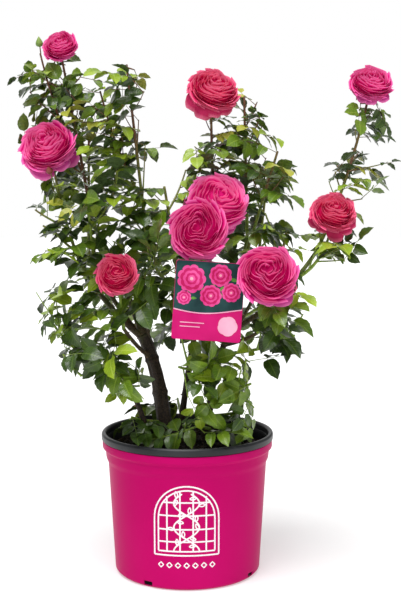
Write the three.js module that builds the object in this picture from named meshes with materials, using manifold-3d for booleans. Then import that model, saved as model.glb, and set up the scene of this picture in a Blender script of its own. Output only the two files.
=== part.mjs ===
// A shrub rose in bloom, standing in its three-gallon nursery pot.
// Millimetres, +Z up, origin at the centre of the pot's flat underside, front towards -Y.
import * as THREE from 'three';
import { mergeVertices } from 'three/addons/utils/BufferGeometryUtils.js';
import Module from 'manifold-3d';

const wasm = await Module();
wasm.setup();
const bush = new THREE.Group();
bush.name = 'potted_rose_bush';

// ---------------------------------------------------------------- sizes of the made parts
const GAP = 0.3;                 // air between two neighbouring pieces
const POT_SIDES = 32;
const LIP_RADIUS = 140;          // outside of the rolled lip
const LIP_TOP = 229;
const LIP_BOTTOM = 217;
const LIP_WIDTH = 8;
const COLLAR_RADIUS = 138.5;     // straight band under the lip
const COLLAR_BOTTOM = 205;
const NECK_RADIUS = 132.5;       // narrow band under the collar
const NECK_BOTTOM = 188;
const BODY_TOP_RADIUS = 129;     // where the straight taper begins
const BODY_TOP = 180;
const FOOT_RADIUS = 118.5;       // just above the bottom corner
const FOOT_CORNER = 5;
const POT_WALL = 2.2;
const DRAIN_WIDTH = 15;          // four drain slots at the bottom corner
const DRAIN_HEIGHT = 7;
const DRAIN_DEPTH = 9;
const DRAIN_FIRST_DEG = -31;     // counted from the front
const SOIL_TOP = 205;

// ---------------------------------------------------------------- sizes of the hanging tag
const TAG = { x: 33, y: -150, z: 456, width: 103, height: 118, thick: 1.2, corner: 6, turnDeg: 4 };
const STRAP = { z: 503, height: 5, thick: 1, wall: 1.4, sides: 8, room: 10, back: -90 };
const TAG_MARGIN = 6;            // kept free of leaves round the tag and before it

// ---------------------------------------------------------------- sizes of leaf, twig and bloom
const LEAF_SPACING = 22;         // along a stem, one compound leaf at each step
const LEAF_FIRST = 0.22;         // share of a stem that stays bare at its foot
const LEAF_TRIALS = 9;           // ways round the stem that a leaf may turn to
const LEAF_SMALL = 0.7;          // size of a leaf where a full one finds no room
const LEAF_RISE_DEG = 28;        // of the leaf stalk above square to its stem
const LEAF_ROOM = 27;            // least distance between the leaflets of two leaves
const STALK_LENGTH = 44;         // from the stem to the joint of the three leaflets
const STALK_HALF = 1.8;          // half width of the stalk
const LEAFLET_LENGTH = 45;
const LEAFLET_WIDTH = 34;
const LEAFLET_WIDEST = 0.5;      // share of the length from the joint
const END_STRETCH = 1.3;         // the end leaflet reaches further than the pair
const PAIR_DEG = 76;             // between the end leaflet and either of the pair
const NOTCH = 3;                 // from the joint to the corner between two leaflets
const FOLD = 3;                  // the edges stand above the rib
const DROOP = 4;                 // the tips hang below it
const LEAF_THICK = 3.6;          // at the joint; it thins towards every edge
const TWIG_RADII = [2, 1.3];
const TWIG_TRIALS = 6;           // ways round its stem that a twig may turn to
const TWIG_RISE_DEG = 35;
const TWIG_LIFT = 0.2;           // share of its reach by which a twig turns up
const TWIG_MARGIN = 7;           // kept free round a twig
const TWIGS_APART = 13;          // between the twigs of two masses
const SIDE_SWEEP = 0.6;          // curve of side stems and twigs
const TURN_SHARE = 0.382;        // of a full turn from one twig to the next
const LEAF_SAG = 0.12;           // leaf stalks lean down by this much
const LEAF_OUTWARD = 0.8;        // how far leaves tilt away from the pot's axis
const LEAF_SCATTER = 1.7;        // how far they tilt at random
const CELL_OVERLAP = 30;         // how far a leaf may reach past the middle between two masses
const LEAF_CLEAR = 0.7;          // least air between two leaves, or a leaf and another stem
const LIMB_MARGIN = 3;           // kept free round a limb

// How far the crown reaches from the pot's axis at each height, and the open sky between shoots.
const CROWN = [
  { z: 215, left: 128, right: 128, deep: 126 }, { z: 300, left: 165, right: 145, deep: 150 },
  { z: 400, left: 262, right: 215, deep: 205 }, { z: 500, left: 242, right: 250, deep: 215 },
  { z: 610, left: 262, right: 300, deep: 220 }, { z: 660, left: 292, right: 336, deep: 215 },
  { z: 800, left: 292, right: 330, deep: 190 }, { z: 850, left: 250, right: 320, deep: 140 },
  { z: 880, left: 225, right: 320, deep: 120 },
];
const SKY = [
  { left: -66, right: -4, above: 690 }, { left: 158, right: 216, above: 600 },
  { left: -10, right: 60, above: 830 }, { left: 110, right: 200, above: 745 },
];

const UP = new THREE.Vector3(0, 0, 1);
const FULL_TURN = 2 * Math.PI;

/** Number from 0 to 1 that depends on nothing but its three keys. */
function chance(a, b, c) {
  const wave = Math.sin(a * 12.9898 + b * 78.233 + c * 37.719) * 43758.5453;
  return wave - Math.floor(wave);
}

function radians(degrees) {
  return degrees * Math.PI / 180;
}

/** Closed solid from a three.js geometry. */
function solidOf(geometry) {
  geometry.deleteAttribute('normal');
  geometry.deleteAttribute('uv');
  const merged = mergeVertices(geometry, 1e-4);
  const corners = Uint32Array.from(merged.index.array);
  const kept = [];
  for (let i = 0; i < corners.length; i += 3) {
    const [a, b, c] = [corners[i], corners[i + 1], corners[i + 2]];
    if (a !== b && b !== c && c !== a) kept.push(a, b, c);
  }
  return new wasm.Manifold(new wasm.Mesh({
    numProp: 3,
    vertProperties: Float32Array.from(merged.attributes.position.array),
    triVerts: Uint32Array.from(kept),
  }));
}

function largestBody(solid) {
  return solid.decompose().reduce((best, body) => (body.volume() > best.volume() ? body : best));
}

/** Adds a solid to the group as a named mesh of one material. */
function addNode(name, solid, colour, roughness) {
  const body = largestBody(solid);
  const mesh = body.getMesh();
  const geometry = new THREE.BufferGeometry();
  geometry.setAttribute('position', new THREE.BufferAttribute(Float32Array.from(mesh.vertProperties), 3));
  geometry.setIndex(new THREE.BufferAttribute(Uint32Array.from(mesh.triVerts), 1));
  geometry.computeVertexNormals();
  const material = new THREE.MeshStandardMaterial({ color: colour, roughness, metalness: 0 });
  const node = new THREE.Mesh(geometry, material);
  node.name = name;
  bush.add(node);
}

/** Full turn of a closed profile of [radius, height] pairs. */
function turned(profile, sides) {
  const points = profile.map(([radius, height]) => new THREE.Vector2(radius, height));
  const geometry = new THREE.LatheGeometry(points, sides);
  geometry.rotateX(Math.PI / 2);
  return solidOf(geometry);
}

// ================================================================ pot, lip and soil
const inner = (radius) => radius - POT_WALL;
const wallTop = LIP_BOTTOM - GAP;
const wallProfile = [
  [0, 0], [FOOT_RADIUS - FOOT_CORNER, 0], [FOOT_RADIUS, FOOT_CORNER], [BODY_TOP_RADIUS, BODY_TOP],
  [NECK_RADIUS, NECK_BOTTOM], [NECK_RADIUS + 1.2, COLLAR_BOTTOM - 4], [COLLAR_RADIUS, COLLAR_BOTTOM],
  [COLLAR_RADIUS, wallTop], [inner(COLLAR_RADIUS), wallTop], [inner(COLLAR_RADIUS), COLLAR_BOTTOM + 2],
  [inner(NECK_RADIUS), COLLAR_BOTTOM - 3], [inner(BODY_TOP_RADIUS), BODY_TOP + 1],
  [inner(FOOT_RADIUS) - 2, POT_WALL], [0, POT_WALL],
];
let wall = turned(wallProfile, POT_SIDES);
for (let i = 0; i < 4; i += 1) {
  const slot = new THREE.BoxGeometry(DRAIN_WIDTH, DRAIN_DEPTH, 2 * DRAIN_HEIGHT);
  slot.translate(0, -FOOT_RADIUS, 0);
  slot.rotateZ(radians(DRAIN_FIRST_DEG + 90 * i));
  wall = wall.subtract(solidOf(slot));
}
addNode('pot_wall', wall, 0xc4126b, 0.4);

const lipMiddle = LIP_RADIUS - LIP_WIDTH / 2;
const lipProfile = [
  [LIP_RADIUS - LIP_WIDTH + 1, LIP_BOTTOM], [LIP_RADIUS, LIP_BOTTOM], [LIP_RADIUS, LIP_TOP - 3],
  [lipMiddle, LIP_TOP], [LIP_RADIUS - LIP_WIDTH, LIP_TOP - 3], [LIP_RADIUS - LIP_WIDTH + 1, LIP_BOTTOM],
];
addNode('pot_lip', turned(lipProfile, POT_SIDES), 0x17181a, 0.45);

const soilAt = (radius) => inner(radius) - GAP - 0.3;
const soilProfile = [
  [0, POT_WALL + GAP], [soilAt(FOOT_RADIUS) - 2.2, POT_WALL + GAP], [soilAt(BODY_TOP_RADIUS), BODY_TOP],
  [soilAt(NECK_RADIUS) - 1, SOIL_TOP - 4], [soilAt(NECK_RADIUS) - 3, SOIL_TOP], [0, SOIL_TOP],
];
addNode('soil', turned(soilProfile, POT_SIDES), 0x2a201a, 0.95);

// ================================================================ limbs
/** Curve that leaves `foot` and ends at `tip`; a small sweep climbs first and leans out later. */
function limbCurve(foot, tip, sweep) {
  const span = tip.clone().sub(foot);
  const bend = new THREE.Vector3(span.x * sweep, span.y * sweep, span.z * (1 - sweep)).add(foot);
  return new THREE.QuadraticBezierCurve3(foot, bend, tip);
}

/**
 * Tapering limb of a few flat sides along a curve. `grow` widens it all round and past its ends;
 * `level` keeps the foot cut flat, and `flare` widens the foot.
 */
function limbSolid(curve, radii, { sides = 6, rings = 6, grow = 0, level = false, flare = 0 } = {}) {
  const shape = new THREE.CylinderGeometry(1, 1, 1, sides, rings);
  const spot = shape.attributes.position;
  const chord = curve.getPoint(1).sub(curve.getPoint(0));
  const steady = Math.abs(chord.z) > 0.5 * chord.length() ? new THREE.Vector3(0, 1, 0) : UP;
  for (let i = 0; i < spot.count; i += 1) {
    const t = spot.getY(i) + 0.5;
    const along = level && t === 0 ? UP : curve.getTangent(t);
    const side = new THREE.Vector3().crossVectors(steady, along).normalize();
    const other = new THREE.Vector3().crossVectors(along, side);
    const widened = 1 + flare * Math.max(0, 1 - t * rings);
    const radius = (radii[0] + (radii[1] - radii[0]) * t) * widened + grow;
    const centre = curve.getPoint(t);
    if (t === 0) centre.addScaledVector(along, -grow);
    if (t === 1) centre.addScaledVector(along, grow);
    centre.addScaledVector(side, spot.getZ(i) * radius);
    centre.addScaledVector(other, spot.getX(i) * radius);
    spot.setXYZ(i, centre.x, centre.y, centre.z);
  }
  return solidOf(shape);
}

const CANES = [
  { name: 'main_cane', foot: [-33, -10], tip: [-71, -10, 387], sweep: 0.3, radii: [12, 9.5],
    flare: 0.3 },
  { name: 'left_cane', foot: [-58, -36], tip: [-104, -64, 334], sweep: 0.35, radii: [4.5, 3.4],
    flare: 0.3 },
  { name: 'centre_cane', foot: [-14, 20], tip: [25, 0, 443], sweep: 0.4, radii: [5.2, 4], flare: 0.3 },
  { name: 'right_cane', foot: [30, 12], tip: [77, 0, 402], sweep: 0.25, radii: [5.6, 4.4],
    flare: 0.3 },
  { name: 'green_cane', foot: [38, -32], tip: [36, -100, 532], sweep: 0.35, radii: [3.2, 2.4],
    flare: 0.3 },
];
const BOUGHS = [
  { name: 'bough_top_left', from: 'main_cane', at: 1, tip: [-152, 10, 565], sweep: 0.45,
    radii: [5.6, 4] },
  { name: 'bough_far_left', from: 'main_cane', at: 0.93, tip: [-168, -42, 505], sweep: 0.6,
    radii: [4.8, 3.5] },
  { name: 'bough_left_back', from: 'main_cane', at: 0.85, tip: [-165, 62, 505], sweep: 0.55,
    radii: [4.4, 3.2] },
  { name: 'bough_inner_left', from: 'main_cane', at: 0.89, tip: [-60, -24, 510], sweep: 0.7,
    radii: [4, 3] },
  { name: 'bough_front_left', from: 'main_cane', at: 0.72, tip: [-98, -72, 405], sweep: 0.6,
    radii: [3.5, 2.7] },
  { name: 'bough_centre_top', from: 'centre_cane', at: 1, tip: [42, 14, 590], sweep: 0.4,
    radii: [3.8, 3] },
  { name: 'bough_centre_left', from: 'centre_cane', at: 0.8, tip: [-16, -20, 490], sweep: 0.6,
    radii: [3.5, 2.6] },
  { name: 'bough_back_centre', from: 'centre_cane', at: 0.66, tip: [14, 76, 440], sweep: 0.6,
    radii: [3.4, 2.6] },
  { name: 'bough_right_upper', from: 'right_cane', at: 1, tip: [98, 32, 540], sweep: 0.4,
    radii: [4, 3] },
  { name: 'bough_far_right', from: 'right_cane', at: 0.9, tip: [204, -40, 524], sweep: 0.62,
    radii: [4, 3] },
  { name: 'bough_front_right', from: 'right_cane', at: 0.74, tip: [110, -82, 400], sweep: 0.6,
    radii: [3.4, 2.6] },
  { name: 'bough_back_right', from: 'right_cane', at: 0.8, tip: [112, 88, 440], sweep: 0.6,
    radii: [3.6, 2.8] },
];

const limbs = new Map();

/** Places one limb, cut 0.3 mm clear of every limb placed before it. */
function placeLimb({ name, foot, from, at, tip, sweep, radii, flare = 0 }, sides, colour) {
  const start = from
    ? limbs.get(from).curve.getPoint(at)
    : new THREE.Vector3(foot[0], foot[1], SOIL_TOP + GAP);
  const curve = limbCurve(start, new THREE.Vector3(...tip), sweep);
  const form = { sides, rings: 5, level: !from, flare };
  let solid = limbSolid(curve, radii, form);
  const sleeve = limbSolid(curve, radii, { ...form, grow: GAP });
  for (const earlier of limbs.values()) solid = solid.subtract(earlier.sleeve);
  limbs.set(name, { curve, radii, sleeve });
  addNode(name, solid, colour, 0.8);
}

for (const cane of CANES) placeLimb(cane, 8, cane.name === 'green_cane' ? 0x6f8a3a : 0x5b4630);
for (const bough of BOUGHS) placeLimb(bough, 5, 0x62703a);

// ================================================================ hanging tag
/** Flat card with round corners, and the strap that loops from its back round the green cane. */
function tagSolid() {
  const [halfWidth, halfHeight, corner] = [TAG.width / 2, TAG.height / 2, TAG.corner];
  const outline = new THREE.Shape();
  for (const [sx, sy, first] of [[1, 1, 0], [-1, 1, 1], [-1, -1, 2], [1, -1, 3]]) {
    outline.absarc(sx * (halfWidth - corner), sy * (halfHeight - corner), corner,
      first * Math.PI / 2, (first + 1) * Math.PI / 2, false);
  }
  const form = { depth: TAG.thick, bevelEnabled: false, curveSegments: 2 };
  const card = new THREE.ExtrudeGeometry(outline, form);
  card.rotateX(Math.PI / 2);
  card.rotateY(radians(TAG.turnDeg));
  card.translate(TAG.x, TAG.y, TAG.z);

  const cane = limbs.get('green_cane');
  const t = tAtHeight(cane.curve, STRAP.z);
  const centre = cane.curve.getPoint(t);
  const caneRadius = cane.radii[0] + (cane.radii[1] - cane.radii[0]) * t;
  const near = (caneRadius + GAP) / Math.cos(Math.PI / STRAP.sides);
  const far = near + STRAP.wall;
  const half = STRAP.height / 2;
  const points = [[near, -half], [far, -half], [far, half], [near, half], [near, -half]];
  const ring = new THREE.LatheGeometry(points.map(([r, h]) => new THREE.Vector2(r, h)), STRAP.sides);
  const upright = new THREE.Vector3(0, 1, 0);
  const lean = new THREE.Quaternion().setFromUnitVectors(upright, cane.curve.getTangent(t));
  ring.applyQuaternion(lean);
  ring.translate(centre.x, centre.y, centre.z);

  const reach = centre.y - far - TAG.y;
  const arm = new THREE.BoxGeometry(STRAP.thick, reach + STRAP.wall, STRAP.height);
  arm.translate(centre.x, TAG.y + (reach + STRAP.wall) / 2 - TAG.thick / 2, centre.z);
  return solidOf(card).add(solidOf(ring)).add(solidOf(arm)).subtract(cane.sleeve);
}

function tAtHeight(curve, height) {
  let [low, high] = [0, 1];
  for (let i = 0; i < 30; i += 1) {
    const middle = (low + high) / 2;
    if (curve.getPoint(middle).z < height) low = middle;
    else high = middle;
  }
  return low;
}

addNode('hang_tag', tagSolid(), 0xd8347f, 0.35);

// ================================================================ masses of foliage
// Each shoot is one mass: a stem from its limb to its tip, side twigs, leaves and any bloom.
// bloom: its radius and the way it faces.
const SHOOTS = [
  { name: 'leaves_far_left', from: 'bough_far_left', at: 1, tip: [-212, -26, 664], sweep: 0.6,
    twigs: 2, reach: 62,
    leaders: [{ at: 0.15, tip: [-208, -60, 560] }],
    bloom: { radius: 47, faces: [-0.25, -0.75, 0.6] } },
  { name: 'leaves_top_left', from: 'bough_top_left', at: 1, tip: [-200, 10, 832], sweep: 0.5, twigs: 0,
    reach: 50,
    leaders: [{ at: 0.3, tip: [-236, 26, 838] }],
    bloom: { radius: 28, faces: [-0.1, -0.6, 0.8] } },
  { name: 'leaves_inner_left', from: 'bough_inner_left', at: 1, tip: [-95, -20, 820], sweep: 0.5,
    twigs: 0, reach: 52,
    leaders: [{ at: 0.3, tip: [-138, 0, 776] }] },
  { name: 'leaves_front_left', from: 'bough_front_left', at: 1, tip: [-104, -102, 480], sweep: 0.5,
    twigs: 2, reach: 66,
    bloom: { radius: 35, faces: [-0.1, -0.9, 0.4] } },
  { name: 'leaves_left_front', from: 'bough_far_left', at: 0.7, tip: [-150, -100, 606], sweep: 0.55,
    twigs: 2, reach: 58 },
  { name: 'leaves_low_left', from: 'left_cane', at: 1, tip: [-212, -84, 424], sweep: 0.7, twigs: 2,
    reach: 60,
    leaders: [{ at: 0.15, tip: [-176, -96, 330] }] },
  { name: 'leaves_low_left_inner', from: 'left_cane', at: 0.7, tip: [-128, -112, 372], sweep: 0.6,
    twigs: 1, reach: 46,
    leaders: [{ at: 0.2, tip: [-72, -112, 322] }] },
  { name: 'leaves_back_left', from: 'bough_left_back', at: 1, tip: [-168, 118, 735], sweep: 0.45,
    twigs: 1, reach: 66,
    leaders: [{ at: 0.3, tip: [-96, 120, 690] }] },
  { name: 'leaves_back_left_low', from: 'bough_left_back', at: 0.35, tip: [-119, 142, 478], sweep: 0.6,
    twigs: 1, reach: 60,
    bloom: { radius: 36, faces: [-0.1, 0.8, 0.6] } },
  { name: 'leaves_centre_top', from: 'bough_centre_top', at: 1, tip: [38, 8, 752], sweep: 0.5,
    twigs: 0, reach: 55,
    bloom: { radius: 43, faces: [0.2, -0.6, 0.75] } },
  { name: 'leaves_centre_upper', from: 'bough_centre_top', at: 0.45, tip: [46, -42, 584], sweep: 0.6,
    twigs: 0, reach: 50,
    bloom: { radius: 47, faces: [0.15, -0.8, 0.6] } },
  { name: 'leaves_centre_left', from: 'bough_centre_left', at: 1, tip: [-42, -30, 660], sweep: 0.45,
    twigs: 1, reach: 60 },
  { name: 'leaves_centre_front', from: 'bough_centre_left', at: 0.6, tip: [-58, -108, 520], sweep: 0.6,
    twigs: 2, reach: 55 },
  { name: 'leaves_back_centre', from: 'bough_back_centre', at: 1, tip: [34, 138, 566], sweep: 0.5,
    twigs: 2, reach: 66,
    bloom: { radius: 44, faces: [0.1, 0.7, 0.7] } },
  { name: 'leaves_front_centre', from: 'green_cane', at: 1, tip: [20, -112, 564], sweep: 0.5, twigs: 0,
    reach: 50,
    bloom: { radius: 47, faces: [-0.1, -0.95, 0.15] } },
  { name: 'leaves_low_centre', from: 'green_cane', at: 0.34, tip: [-12, -104, 350], sweep: 0.7,
    twigs: 1, reach: 50,
    leaders: [{ at: 0.4, tip: [22, -116, 318] }] },
  { name: 'leaves_right_upper', from: 'bough_right_upper', at: 1, tip: [92, 30, 770], sweep: 0.5,
    twigs: 0, reach: 55 },
  { name: 'leaves_right_middle', from: 'bough_right_upper', at: 0.6, tip: [142, -36, 680], sweep: 0.5,
    twigs: 1, reach: 60 },
  { name: 'leaves_front_right', from: 'bough_front_right', at: 1, tip: [120, -154, 480], sweep: 0.6,
    twigs: 2, reach: 60,
    bloom: { radius: 48, faces: [-0.05, -0.9, 0.4] } },
  { name: 'leaves_far_right', from: 'bough_far_right', at: 1, tip: [290, 0, 775], sweep: 0.6, twigs: 0,
    reach: 50,
    bloom: { radius: 37, faces: [0, -0.7, 0.7] } },
  { name: 'leaves_right_bloom', from: 'bough_far_right', at: 0.72, tip: [226, -60, 566], sweep: 0.75,
    twigs: 1, reach: 50,
    bloom: { radius: 38, faces: [0, -0.7, 0.7] } },
  { name: 'leaves_right_inner', from: 'bough_far_right', at: 0.45, tip: [160, -16, 565], sweep: 0.5,
    twigs: 2, reach: 60 },
  { name: 'leaves_low_right', from: 'right_cane', at: 0.64, tip: [170, -50, 392], sweep: 0.7, twigs: 2,
    reach: 52 },
  { name: 'leaves_low_right_front', from: 'green_cane', at: 0.24, tip: [100, -80, 320], sweep: 0.7,
    twigs: 2, reach: 45 },
  { name: 'leaves_back_right', from: 'bough_back_right', at: 1, tip: [136, 128, 640], sweep: 0.5,
    twigs: 2, reach: 66 },
  { name: 'leaves_back_right_low', from: 'bough_back_right', at: 0.55, tip: [150, 140, 446],
    sweep: 0.7, twigs: 2, reach: 60,
    bloom: { radius: 40, faces: [0.2, 0.75, 0.6] } },
  { name: 'leaves_basal_left', from: 'main_cane', at: 0.16, tip: [-88, -56, 262], sweep: 0.6, twigs: 0,
    reach: 35 },
  { name: 'leaves_basal_centre', from: 'green_cane', at: 0.08, tip: [6, -84, 262], sweep: 0.6,
    twigs: 0, reach: 35 },
  { name: 'leaves_basal_right', from: 'right_cane', at: 0.16, tip: [92, -14, 264], sweep: 0.6,
    twigs: 0, reach: 35 },
  { name: 'leaves_basal_back', from: 'centre_cane', at: 0.15, tip: [-18, 92, 264], sweep: 0.6,
    twigs: 0, reach: 35 },
];
const STEM_RADII = [2.7, 1.7];
const LEADER_RADII = [2.2, 1.5];
const SAMPLES = 8;

/** Points along a curve with the radius of its limb or twig there. */
function sampled(curve, radii, owner) {
  const beads = [];
  for (let i = 0; i <= SAMPLES; i += 1) {
    const t = i / SAMPLES;
    beads.push({ point: curve.getPoint(t), radius: radii[0] + (radii[1] - radii[0]) * t });
  }
  return { curve, radii, owner, beads };
}

/** Distance from a point to the surface of a sampled limb or twig. */
function clearance(point, axis) {
  let least = Infinity;
  const segment = new THREE.Line3();
  const foot = new THREE.Vector3();
  for (let i = 0; i < axis.beads.length - 1; i += 1) {
    segment.set(axis.beads[i].point, axis.beads[i + 1].point);
    segment.closestPointToPoint(point, true, foot);
    least = Math.min(least, foot.distanceTo(point) - axis.beads[i].radius);
  }
  return least;
}

const limbAxes = [...limbs.values()].map(({ curve, radii }) => sampled(curve, radii, null));
const blooms = [];
const axes = [];

for (const [index, shoot] of SHOOTS.entries()) {
  const start = limbs.get(shoot.from).curve.getPoint(shoot.at);
  const curve = limbCurve(start, new THREE.Vector3(...shoot.tip), shoot.sweep);
  shoot.key = index + 1;
  shoot.stem = sampled(curve, STEM_RADII, shoot);
  shoot.leaders = (shoot.leaders ?? []).map((leader) => {
    const branch = limbCurve(curve.getPoint(leader.at), new THREE.Vector3(...leader.tip), SIDE_SWEEP);
    return sampled(branch, LEADER_RADII, shoot);
  });
  axes.push(shoot.stem, ...shoot.leaders);
  if (shoot.bloom) {
    const faces = new THREE.Vector3(...shoot.bloom.faces).normalize();
    const centre = curve.getPoint(1).addScaledVector(faces, 0.5 * shoot.bloom.radius);
    blooms.push({ owner: shoot, centre, faces, radius: shoot.bloom.radius });
  }
}

/** True where a point lies within the crown's reach and not in the open sky between shoots. */
function isInCrown(point) {
  const next = CROWN.findIndex(({ z }) => z > point.z);
  if (next < 1) return false;
  const [low, high] = [CROWN[next - 1], CROWN[next]];
  const share = (point.z - low.z) / (high.z - low.z);
  const reach = (side) => low[side] + (high[side] - low[side]) * share;
  const inside = point.x > -reach('left') && point.x < reach('right') && Math.abs(point.y) < reach('deep');
  return inside && !SKY.some(({ left, right, above }) => (
    point.x > left && point.x < right && point.z > above));
}

/** True where a point is clear of soil, pot, tag, blooms and limbs by the margin given. */
function isFree(point, margin) {
  const fromAxis = Math.hypot(point.x, point.y);
  if (point.z < SOIL_TOP + margin || !isInCrown(point)) return false;
  if (point.z < LIP_TOP + margin && fromAxis > NECK_RADIUS - POT_WALL - margin) return false;
  const beside = Math.abs(point.x - TAG.x) < TAG.width / 2 + TAG_MARGIN + margin;
  const level = Math.abs(point.z - TAG.z) < TAG.height / 2 + TAG_MARGIN + margin;
  if (beside && level && point.y < TAG.y + TAG_MARGIN + margin) return false;
  const nearStrap = Math.abs(point.x - TAG.x) < STRAP.room + margin && point.y < STRAP.back;
  if (nearStrap && Math.abs(point.z - STRAP.z) < STRAP.height + margin) return false;
  if (blooms.some(({ centre, radius }) => centre.distanceTo(point) < radius + margin)) return false;
  return limbAxes.every((axis) => clearance(point, axis) > margin);
}

/** True where a point lies nearer to its own mass's stem and twigs than to any other mass. */
function isInCell(point, shoot) {
  let [own, other] = [Infinity, Infinity];
  for (const axis of axes) {
    const distance = clearance(point, axis);
    if (axis.owner === shoot) own = Math.min(own, distance);
    else other = Math.min(other, distance);
  }
  return own < other + CELL_OVERLAP;
}

/** Direction that leaves a stem at an angle round it and a rise above square to it. */
function leaving(along, turn, rise) {
  const side = new THREE.Vector3().crossVectors(along, new THREE.Vector3(0.31, 0.95, 0)).normalize();
  const other = new THREE.Vector3().crossVectors(along, side);
  const out = side.multiplyScalar(Math.cos(turn)).addScaledVector(other, Math.sin(turn));
  return out.multiplyScalar(Math.cos(rise)).addScaledVector(along, Math.sin(rise)).normalize();
}

for (const shoot of SHOOTS) {
  const carriers = [shoot.stem, ...shoot.leaders];
  shoot.twigs = Array.from({ length: shoot.twigs }, (_, k) => k).map((k) => {
    const { curve } = carriers[k % carriers.length];
    const t = 0.25 + 0.6 * (k + 0.5) / Math.max(1, shoot.twigs);
    const reach = shoot.reach * (0.85 + 0.4 * chance(shoot.key, k, 1));
    for (let trial = 0; trial < TWIG_TRIALS; trial += 1) {
      const turn = FULL_TURN * (chance(shoot.key, k, 2) + k * TURN_SHARE + trial / TWIG_TRIALS);
      const way = leaving(curve.getTangent(t), turn, radians(TWIG_RISE_DEG));
      const start = curve.getPoint(t);
      const end = start.clone().addScaledVector(way, reach).addScaledVector(UP, TWIG_LIFT * reach);
      const twig = sampled(limbCurve(start, end, SIDE_SWEEP), TWIG_RADII, shoot);
      const clear = twig.beads.slice(3).every(({ point }) => isFree(point, TWIG_MARGIN)
        && axes.every((axis) => axis.owner === shoot || clearance(point, axis) > TWIGS_APART));
      if (clear) {
        axes.push(twig);
        return twig;
      }
    }
    return null;
  }).filter(Boolean);
}

/** Corners of a leaf of three leaflets, counter-clockwise, as [along, across, up] from its joint. */
function leafCorners(size) {
  const stalk = [-STALK_LENGTH * size, STALK_HALF];
  const corners = [[stalk[0], -stalk[1], 0], [-NOTCH, -stalk[1], 0]];
  for (const [turnDeg, stretch] of [[-PAIR_DEG, 1], [0, END_STRETCH], [PAIR_DEG, 1]]) {
    const [cos, sin] = [Math.cos(radians(turnDeg)), Math.sin(radians(turnDeg))];
    const edge = [[LEAFLET_WIDEST, -1, FOLD], [1, 0, -DROOP], [LEAFLET_WIDEST, 1, FOLD]];
    for (const [share, hand, lift] of edge) {
      const forward = share * LEAFLET_LENGTH * stretch * size;
      const sideways = hand * LEAFLET_WIDTH / 2 * size;
      corners.push([forward * cos - sideways * sin, forward * sin + sideways * cos, lift * size]);
    }
    const between = radians(turnDeg + PAIR_DEG / 2);
    if (turnDeg < PAIR_DEG) corners.push([NOTCH * Math.cos(between), NOTCH * Math.sin(between), 0]);
  }
  return [...corners, [-NOTCH, stalk[1], 0], [stalk[0], stalk[1], 0]];
}

/**
 * One leaf as a flat spindle: a ring of corners between an upper and a lower point at the joint,
 * so that each leaflet has a rib, and a stalk that runs back to its root inside the stem.
 */
function compoundLeaf(axis, t, turn, size) {
  const root = axis.curve.getPoint(t);
  const way = leaving(axis.curve.getTangent(t), turn, radians(LEAF_RISE_DEG));
  way.z -= LEAF_SAG;
  way.normalize();
  const away = new THREE.Vector3(root.x, root.y, 0).normalize();
  const noise = new THREE.Vector3(chance(root.x, root.z, 3), chance(root.y, root.z, 4), 0.5).subScalar(0.5);
  const normal = UP.clone().addScaledVector(away, LEAF_OUTWARD).addScaledVector(noise, LEAF_SCATTER);
  normal.addScaledVector(way, -normal.dot(way)).normalize();
  const side = new THREE.Vector3().crossVectors(normal, way);
  const joint = root.clone().addScaledVector(way, STALK_LENGTH * size);
  const corners = leafCorners(size).map(([along, across, up]) => joint.clone()
    .addScaledVector(way, along).addScaledVector(side, across).addScaledVector(normal, up));

  const shape = new THREE.SphereGeometry(1, corners.length, 2);
  const spot = shape.attributes.position;
  for (let i = 0; i < spot.count; i += 1) {
    const share = Math.atan2(spot.getZ(i), -spot.getX(i)) / FULL_TURN + 1;
    const onRing = Math.abs(spot.getY(i)) < 0.5;
    const point = onRing
      ? corners[Math.round(share * corners.length) % corners.length]
      : joint.clone().addScaledVector(normal, spot.getY(i) * LEAF_THICK / 2);
    spot.setXYZ(i, point.x, point.y, point.z);
  }
  const probes = corners.slice(2, -2);
  const middles = [3, 7, 11].map((i) => corners[i].clone().lerp(joint, 0.45));
  return { solid: solidOf(shape), joint, probes: [...probes, joint, ...middles], middles };
}

/** True where two solids are further apart than leaves have to be. */
function isClear(solid, other) {
  const [a, b] = [solid.boundingBox(), other.boundingBox()];
  const apart = [0, 1, 2].some((i) => a.min[i] - b.max[i] > LEAF_CLEAR || b.min[i] - a.max[i] > LEAF_CLEAR);
  return apart || solid.minGap(other, LEAF_CLEAR) >= LEAF_CLEAR;
}

/** Places a leaf at one spot of a stem, on the side with the most room, or none where all are taken. */
function growLeaf(shoot, { axis, t, size, phase }) {
  const choices = [];
  for (let trial = 0; trial < 2 * LEAF_TRIALS; trial += 1) {
    if (trial === LEAF_TRIALS) {
      if (choices.length > 0) break;
      size *= LEAF_SMALL;
    }
    const leaf = compoundLeaf(axis, t, phase + FULL_TURN * trial / LEAF_TRIALS, size);
    const rooms = leaf.middles.flatMap((point) => middles.map((other) => other.distanceTo(point)));
    leaf.room = Math.min(...rooms);
    const fits = leaf.room > LEAF_ROOM * size
      && leaf.probes.every((point) => isFree(point, LIMB_MARGIN) && isInCell(point, shoot));
    if (fits) choices.push(leaf);
  }
  choices.sort((a, b) => b.room - a.room);
  for (const leaf of choices) {
    if (solids.every((other) => other.axis === axis || isClear(leaf.solid, other.solid))) {
      solids.push({ solid: leaf.solid, axis: null, shoot });
      middles.push(...leaf.middles);
      axis.leaves += 1;
      return;
    }
  }
}

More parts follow.
